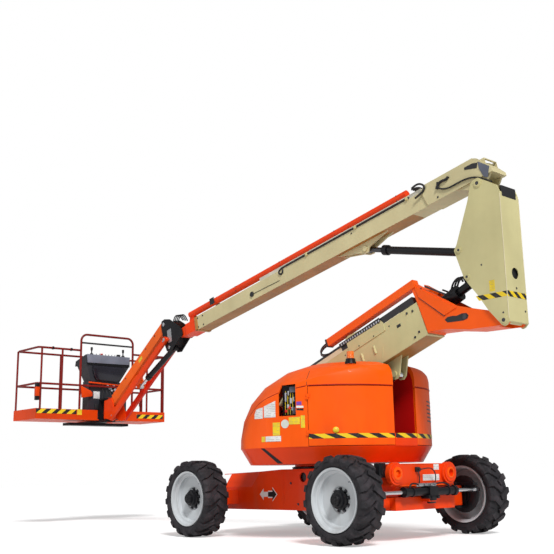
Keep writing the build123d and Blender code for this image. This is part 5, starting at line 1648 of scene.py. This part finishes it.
# ---------------------------------------------------------------- platform
@dataclass(frozen=True)
class Platform:
    """Toe-board bands and plate, post pad and rail clips of the platform."""

    frame: dict
    near: float = -5.262

    def _toes(self) -> None:
        """Warning bands and the plain plate on the near toe board."""
        face = facing_x(self.near)
        bands = (("left", -1.213, -0.5, 1.728, 1.8), ("right", 0.646, 1.184, 1.69, 1.756))
        for name, y0, y1, z0, z1 in bands:
            tape = replace(TOE_TAPE, name="toe_tape_" + name, weave=Weave.BACK)
            band = Shape().prism([(y0, z0), (y1, z0), (y1, z1), (y0, z1)], -0.0015, 0.0005, face)
            band.finish("toe_band_" + name, "platform", tape)
        card = [(-0.489, 1.718), (-0.404, 1.718), (-0.404, 1.81), (-0.489, 1.81)]
        plate = Shape().prism(card, -0.0015, 0.0005, face)
        plate.finish("toe_plate", "platform", YELLOW_FILM)

    def _posts(self) -> None:
        """Padded box on the corner post and clips on the top rail."""
        low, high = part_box("platform_rails")
        y, x = low[1] + 0.017, self.near - 0.02
        pad = Shape()
        pad.box((x - 0.03, y - 0.03, 1.93), (x + 0.03, y + 0.03, 2.2), 0.008)
        pad.finish("post_pad", "platform", BLACK)
        band = Shape()
        band.box((x - 0.032, y - 0.032, 1.99), (x + 0.032, y + 0.032, 2.14), 0.008)
        band.finish("post_pad_band", "platform", ORANGE_PAN)
        clips = Shape()
        for y in (-0.949, -0.62, 0.78):
            clips.box((x - 0.024, y - 0.012, 2.752), (x + 0.024, y + 0.012, 2.8), 0.004)
        clips.finish("rail_clips", "platform", BLACK)
        LOG.info("rails from %.3f %.3f to %.3f %.3f", low[0], low[1], high[0], high[1])

    def build(self) -> int:
        """Dress the platform.

        Returns:
            Number of warning bands.
        """
        self._toes()
        self._posts()
        return 2


@dataclass(frozen=True)
class Console:
    """Tray, levers, bowl, cabinet fittings and brackets of the platform's control box."""

    frame: dict
    front: float = -5.31
    cabinet: float = -5.318
    deck: float = 2.722

    def _tray(self) -> None:
        """Pale tray with its dark joint and its top."""
        face = facing_x(self.front)
        tray = Shape()
        rim = [(-0.318, 2.728), (0.514, 2.724), (0.495, 2.592), (-0.303, 2.585)]
        tray.prism(rim, -0.02, 0.0, face, 0.006)
        tray.box((self.front - 0.05, -0.31, self.deck - 0.004), (self.front, 0.51, self.deck + 0.004), 0.002)
        tray.finish("console_tray", "platform", SLATE_PALE)
        seam = [(-0.316, 2.588), (0.512, 2.595), (0.5, 2.556), (-0.3, 2.556)]
        joint = Shape().prism(seam, -0.008, 0.0, face)
        joint.finish("console_joint", "platform", BLACK)

    def _levers(self) -> int:
        """Levers and switches that stand above the tray."""
        levers = Shape()
        spots = (-0.21, 0.4)
        x, z = self.front - 0.03, self.deck
        for y in spots:
            levers.rod((x, y, z), (x, y, z + 0.03), 0.034, 20, 0.004, 0.022)
            levers.rod((x, y, z + 0.02), (x, y, z + 0.085), 0.01, 12)
            levers.rod((x, y, z + 0.075), (x, y, z + 0.13), 0.018, 16, 0.005, 0.02)
        for k in range(8):
            y = -0.12 + 0.06 * k
            levers.rod((x, y, z), (x, y, z + 0.03), 0.005, 10)
            levers.rod((x, y, z), (x, y, z + 0.009), 0.012, 6)
        levers.box((x - 0.02, 0.28, z), (x + 0.02, 0.34, z + 0.04), 0.006)
        levers.finish("console_levers", "platform", HOSE)
        stop = Shape()
        stop.lathe([(0.0, 0.0), (0.014, 0.0), (0.014, 0.014), (0.026, 0.018), (0.024, 0.03), (0.0, 0.033)],
                   (x, -0.02, z + 0.004), (0, 0, 1), 24)
        stop.finish("console_stop", "platform", RED_FILM)
        return len(spots)

    def _bowl(self) -> None:
        """Glossy belly under the tray."""
        bowl = Shape()
        outline = [(-0.21, 2.55), (0.42, 2.54), (0.4, 2.45), (0.33, 2.33), (0.26, 2.285), (-0.12, 2.295),
                   (-0.17, 2.35), (-0.205, 2.46)]
        bowl.prism(outline, -0.036, 0.01, facing_x(self.front), 0.03)
        bowl.finish("console_bowl", "platform", GLOSS_BLACK)

    def _fittings(self) -> None:
        """Bar, brackets, label, foot, valves and hoses on the cabinet."""
        face = facing_x(self.cabinet)
        bar = Shape()
        rail = [(-0.273, 2.272), (0.31, 2.245), (0.31, 2.222), (-0.273, 2.248)]
        gusset = [(-0.431, 2.193), (-0.227, 2.114), (-0.244, 2.024), (-0.404, 2.0)]
        bar.prism(rail, -0.04, -0.012, face, 0.003).prism(gusset, -0.05, -0.02, face, 0.004)
        bar.box((self.cabinet, -0.26, 2.03), (self.cabinet + 0.03, -0.2, 2.1), 0.004)
        bar.finish("console_brackets", "platform", ORANGE_PAN)
        card = [(-0.166, 2.117), (-0.05, 2.113), (-0.05, 1.996), (-0.166, 2.0)]
        label = Shape().prism(card, -0.006, 0.001, face, 0.001)
        label.finish("console_label", "platform", WHITE_FILM)
        valves = Shape()
        x = self.cabinet
        for y, z, r in ((0.085, 2.215, 0.022), (0.14, 2.19, 0.03), (0.2, 2.225, 0.02), (0.235, 2.16, 0.026),
                        (0.17, 2.14, 0.018)):
            valves.rod((x - 0.002, y, z), (x + 0.03, y, z), r, 16, 0.003)
            valves.rod((x + 0.028, y, z), (x + 0.042, y, z), r * 0.5, 6, 0.001)
        valves.rod((x, 0.059, 1.7), (x, 0.059, 1.78), 0.022, 16, 0.003)
        valves.finish("console_valves", "platform", PALE_PLASTIC)
        dark = Shape()
        for k in range(5):
            y = -0.01 + 0.07 * k
            bends = ((0.01, y, 2.17 - 0.02 * k), (0.034, y + 0.02, 2.1), (0.03, y - 0.02, 1.98),
                     (0.034, y + 0.01, 1.86), (0.004, y, 1.76))
            dark.hose([(x + dx, py, z) for dx, py, z in bends], 0.009)
        for y, z in ((-0.1, 1.86), (0.1, 1.92), (0.22, 1.84)):
            dark.box((x, y - 0.04, z - 0.05), (x + 0.022, y + 0.04, z + 0.05), 0.006)
        dark.finish("console_hoses", "platform", HOSE)

    def build(self) -> int:
        """Dress the console.

        Returns:
            Number of levers.
        """
        self._tray()
        sleeve = Shape().rod((-5.284, -0.425, 2.905), (-5.284, 0.545, 2.905), 0.0145, 16)
        sleeve.finish("hoop_bar_sleeve", "platform", HOSE)
        self._bowl()
        self._fittings()
        return self._levers()


def sub_assemblies(frame: dict) -> tuple:
    """The machine's sub-assemblies in building order."""
    return (Wheels(frame), Chassis(frame), Steering(frame), Hood(frame), Tower(frame), Upright(frame),
            MainBoom(frame), FlyBoom(frame), Jib(frame), Platform(frame), Console(frame))


# ---------------------------------------------------------------- carried-over solids
@dataclass(frozen=True)
class Dresser:
    """Puts a finish on every carried-over solid and smooths its curved faces."""

    frame: dict
    split_degrees: float = 32.0

    def _wear(self, name: str, finish: Finish) -> None:
        """Give one solid its finish and its smoothing.

        Args:
            name: Node of the solid.
            finish: Its finish.
        """
        solid = self.frame["nodes"][name]
        solid.data.materials.clear()
        solid.data.materials.append(finish.material())
        for polygon in solid.data.polygons:
            polygon.use_smooth = True
        weld = solid.modifiers.new("weld", "WELD")
        weld.merge_threshold = 0.00002
        split = solid.modifiers.new("edges", "EDGE_SPLIT")
        split.split_angle = math.radians(self.split_degrees)

    def build(self) -> int:
        """Dress all the solids.

        Returns:
            How many were dressed.
        """
        # The skirt, rail and far-link oranges below are darker copies that stand for painted shade; the jib
        # arm's paler copy is painted light.
        table: dict[str, Finish] = {
            "tyre_": TYRE, "rim_": RIM_GREY, "hub_": BLACK, "chassis_frame": ORANGE_SHADED, "axle_": ORANGE_SHADED,
            "steer_cylinder": BLACK, "steer_rod": CHROME, "knuckle_": BLACK,
            "turntable_frame": ORANGE_SHADED, "counterweight": BLACK, "hood_": ORANGE, "door_": ORANGE,
            "engine_block": BLACK, "ground_control": DARK_PLASTIC, "beacon": AMBER, "tower_base": CREAM,
            "tower_track": TRACK, "tower_fly": ORANGE, "tower_ram_barrel": BLACK, "tower_ram_rod": CHROME,
            "level_ram_barrel": BLACK, "level_ram_rod": BLACK, "upright": CREAM, "main_boom": CREAM_BOOM,
            "boom_track": TRAY_GREY, "lift_ram_barrel": BLACK, "lift_ram_rod": DARK_STEEL,
            "fly_boom": ORANGE_SHADED,
            "hose_tube": ORANGE_SHADED, "gooseneck": BLACK, "jib_arm": ORANGE_JIB_LIT, "jib_link_left": ORANGE_SHADED,
            "jib_link_right": RED_LINK_SHADE, "jib_ram_barrel": BLACK, "jib_ram_rod": CHROME,
            "platform_support": ORANGE_SHADED, "platform_mount": BLACK, "platform_floor": ORANGE_PAN,
            "platform_rails": ORANGE_SHADOW, "platform_hoop": ORANGE_SHADOW, "platform_gate": ORANGE_SHADOW,
            "control_console": DARK_PLASTIC,
        }
        for name in self.frame["nodes"]:
            match = max((k for k in table if name.startswith(k)), key=len)
            self._wear(name, table[match])
        return len(self.frame["nodes"])


# ---------------------------------------------------------------- floor, light and camera
@dataclass(frozen=True)
class Studio:
    """Plain pale floor, soft light and the camera."""

    eye: Point = (7.7756, -7.7904, 0.7236)
    azimuth: float = 47.566
    elevation: float = 12.939
    roll: float = -1.171
    lens: float = 57.69
    shift: tuple[float, float] = (-0.01299, -0.01358)
    floor_half: float = 60.0
    floor_glow: float = 0.36
    sky: float = 0.3
    sun: float = 2.9
    fill: float = 0.25

    def _camera(self) -> None:
        """Set up the camera."""
        data = bpy.data.cameras.new("camera")
        data.sensor_width = 36.0
        data.lens = self.lens
        data.shift_x, data.shift_y = self.shift
        data.clip_end = 300.0
        az, el, roll = (math.radians(v) for v in (self.azimuth, self.elevation, self.roll))
        forward = Vector((-math.sin(az) * math.cos(el), math.cos(az) * math.cos(el), math.sin(el)))
        right = Vector((math.cos(az), math.sin(az), 0.0))
        up = right.cross(forward)
        side = right * math.cos(roll) + up * math.sin(roll)
        top = up * math.cos(roll) - right * math.sin(roll)
        camera = bpy.data.objects.new("camera", data)
        bpy.context.scene.collection.objects.link(camera)
        turn = Matrix((side, top, -forward)).transposed().to_4x4()
        camera.matrix_world = Matrix.Translation(Vector(self.eye)) @ turn
        bpy.context.scene.camera = camera

    @staticmethod
    def _tree(owner: bpy.types.ID, *kinds: str) -> tuple:
        """Empty the node tree of a material or world and fill it anew.

        Args:
            owner: The material or world.
            kinds: Kinds of the new nodes, without the leading "ShaderNode".

        Returns:
            The tree, then one node for each kind.
        """
        owner.use_nodes = True
        tree = owner.node_tree
        tree.nodes.clear()
        return (tree, *(tree.nodes.new("ShaderNode" + kind) for kind in kinds))

    def _floor(self) -> None:
        """Lay the floor: it reads white to the camera and keeps the machine's shadow."""
        shape = bmesh.new()
        bmesh.ops.create_grid(shape, x_segments=1, y_segments=1, size=self.floor_half)
        mesh = bpy.data.meshes.new("floor")
        shape.to_mesh(mesh)
        shape.free()
        floor = bpy.data.objects.new("floor", mesh)
        bpy.context.scene.collection.objects.link(floor)
        material = bpy.data.materials.new("floor_paper")
        tree, out, paper, glow, path, lift, both = self._tree(
            material, "OutputMaterial", "BsdfDiffuse", "Emission", "LightPath", "Math", "AddShader")
        paper.inputs["Color"].default_value = (0.8, 0.8, 0.8, 1.0)
        lift.operation = "MULTIPLY"
        lift.inputs[1].default_value = self.floor_glow
        tree.links.new(path.outputs["Is Camera Ray"], lift.inputs[0])
        tree.links.new(lift.outputs[0], glow.inputs["Strength"])
        tree.links.new(paper.outputs[0], both.inputs[0])
        tree.links.new(glow.outputs[0], both.inputs[1])
        tree.links.new(both.outputs[0], out.inputs[0])
        mesh.materials.append(material)

    def _world(self) -> None:
        """Even sky, white where the camera or a transmission ray sees it."""
        world = bpy.data.worlds.new("studio")
        bpy.context.scene.world = world
        tree, out, back, path, seen, scale = self._tree(
            world, "OutputWorld", "Background", "LightPath", "Math", "MapRange")
        seen.operation = "MAXIMUM"
        scale.inputs["To Min"].default_value = self.sky
        scale.inputs["To Max"].default_value = 1.0
        tree.links.new(path.outputs["Is Camera Ray"], seen.inputs[0])
        tree.links.new(path.outputs["Is Transmission Ray"], seen.inputs[1])
        back.inputs["Color"].default_value = (1.0, 1.0, 1.0, 1.0)
        tree.links.new(seen.outputs[0], scale.inputs["Value"])
        tree.links.new(scale.outputs[0], back.inputs["Strength"])
        tree.links.new(back.outputs[0], out.inputs[0])

    def _lamp(self, name: str, way: Point, strength: float, spread: float) -> None:
        """Hang one sun lamp.

        Args:
            name: Name of the lamp.
            way: Direction that its light comes from.
            strength: Its strength.
            spread: Its apparent size in degrees.
        """
        data = bpy.data.lights.new(name, "SUN")
        data.energy = strength
        data.angle = math.radians(spread)
        lamp = bpy.data.objects.new(name, data)
        bpy.context.scene.collection.objects.link(lamp)
        lamp.matrix_world = Vector(way).to_track_quat("Z", "Y").to_matrix().to_4x4()

    def build(self) -> int:
        """Set the whole stage.

        Returns:
            Number of lamps.
        """
        self._camera()
        self._floor()
        self._world()
        self._lamp("key", (0.75, -0.42, 0.85), self.sun, 14.0)
        self._lamp("fill", (-0.55, -0.9, 0.35), self.fill, 40.0)
        bpy.context.scene.view_settings.view_transform = "Standard"
        return 2


def main(frame: dict) -> None:
    """Dress the machine piece by piece and set the stage.

    Args:
        frame: The loaded frame.
    """
    logging.basicConfig(level=logging.INFO, format="%(message)s")
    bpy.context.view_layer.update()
    steps = (Dresser(frame), *sub_assemblies(frame), Studio())
    for step in steps:
        LOG.info("%s: %d", type(step).__name__, step.build())


if __name__ == "__main__":
    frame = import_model()
    main(frame)
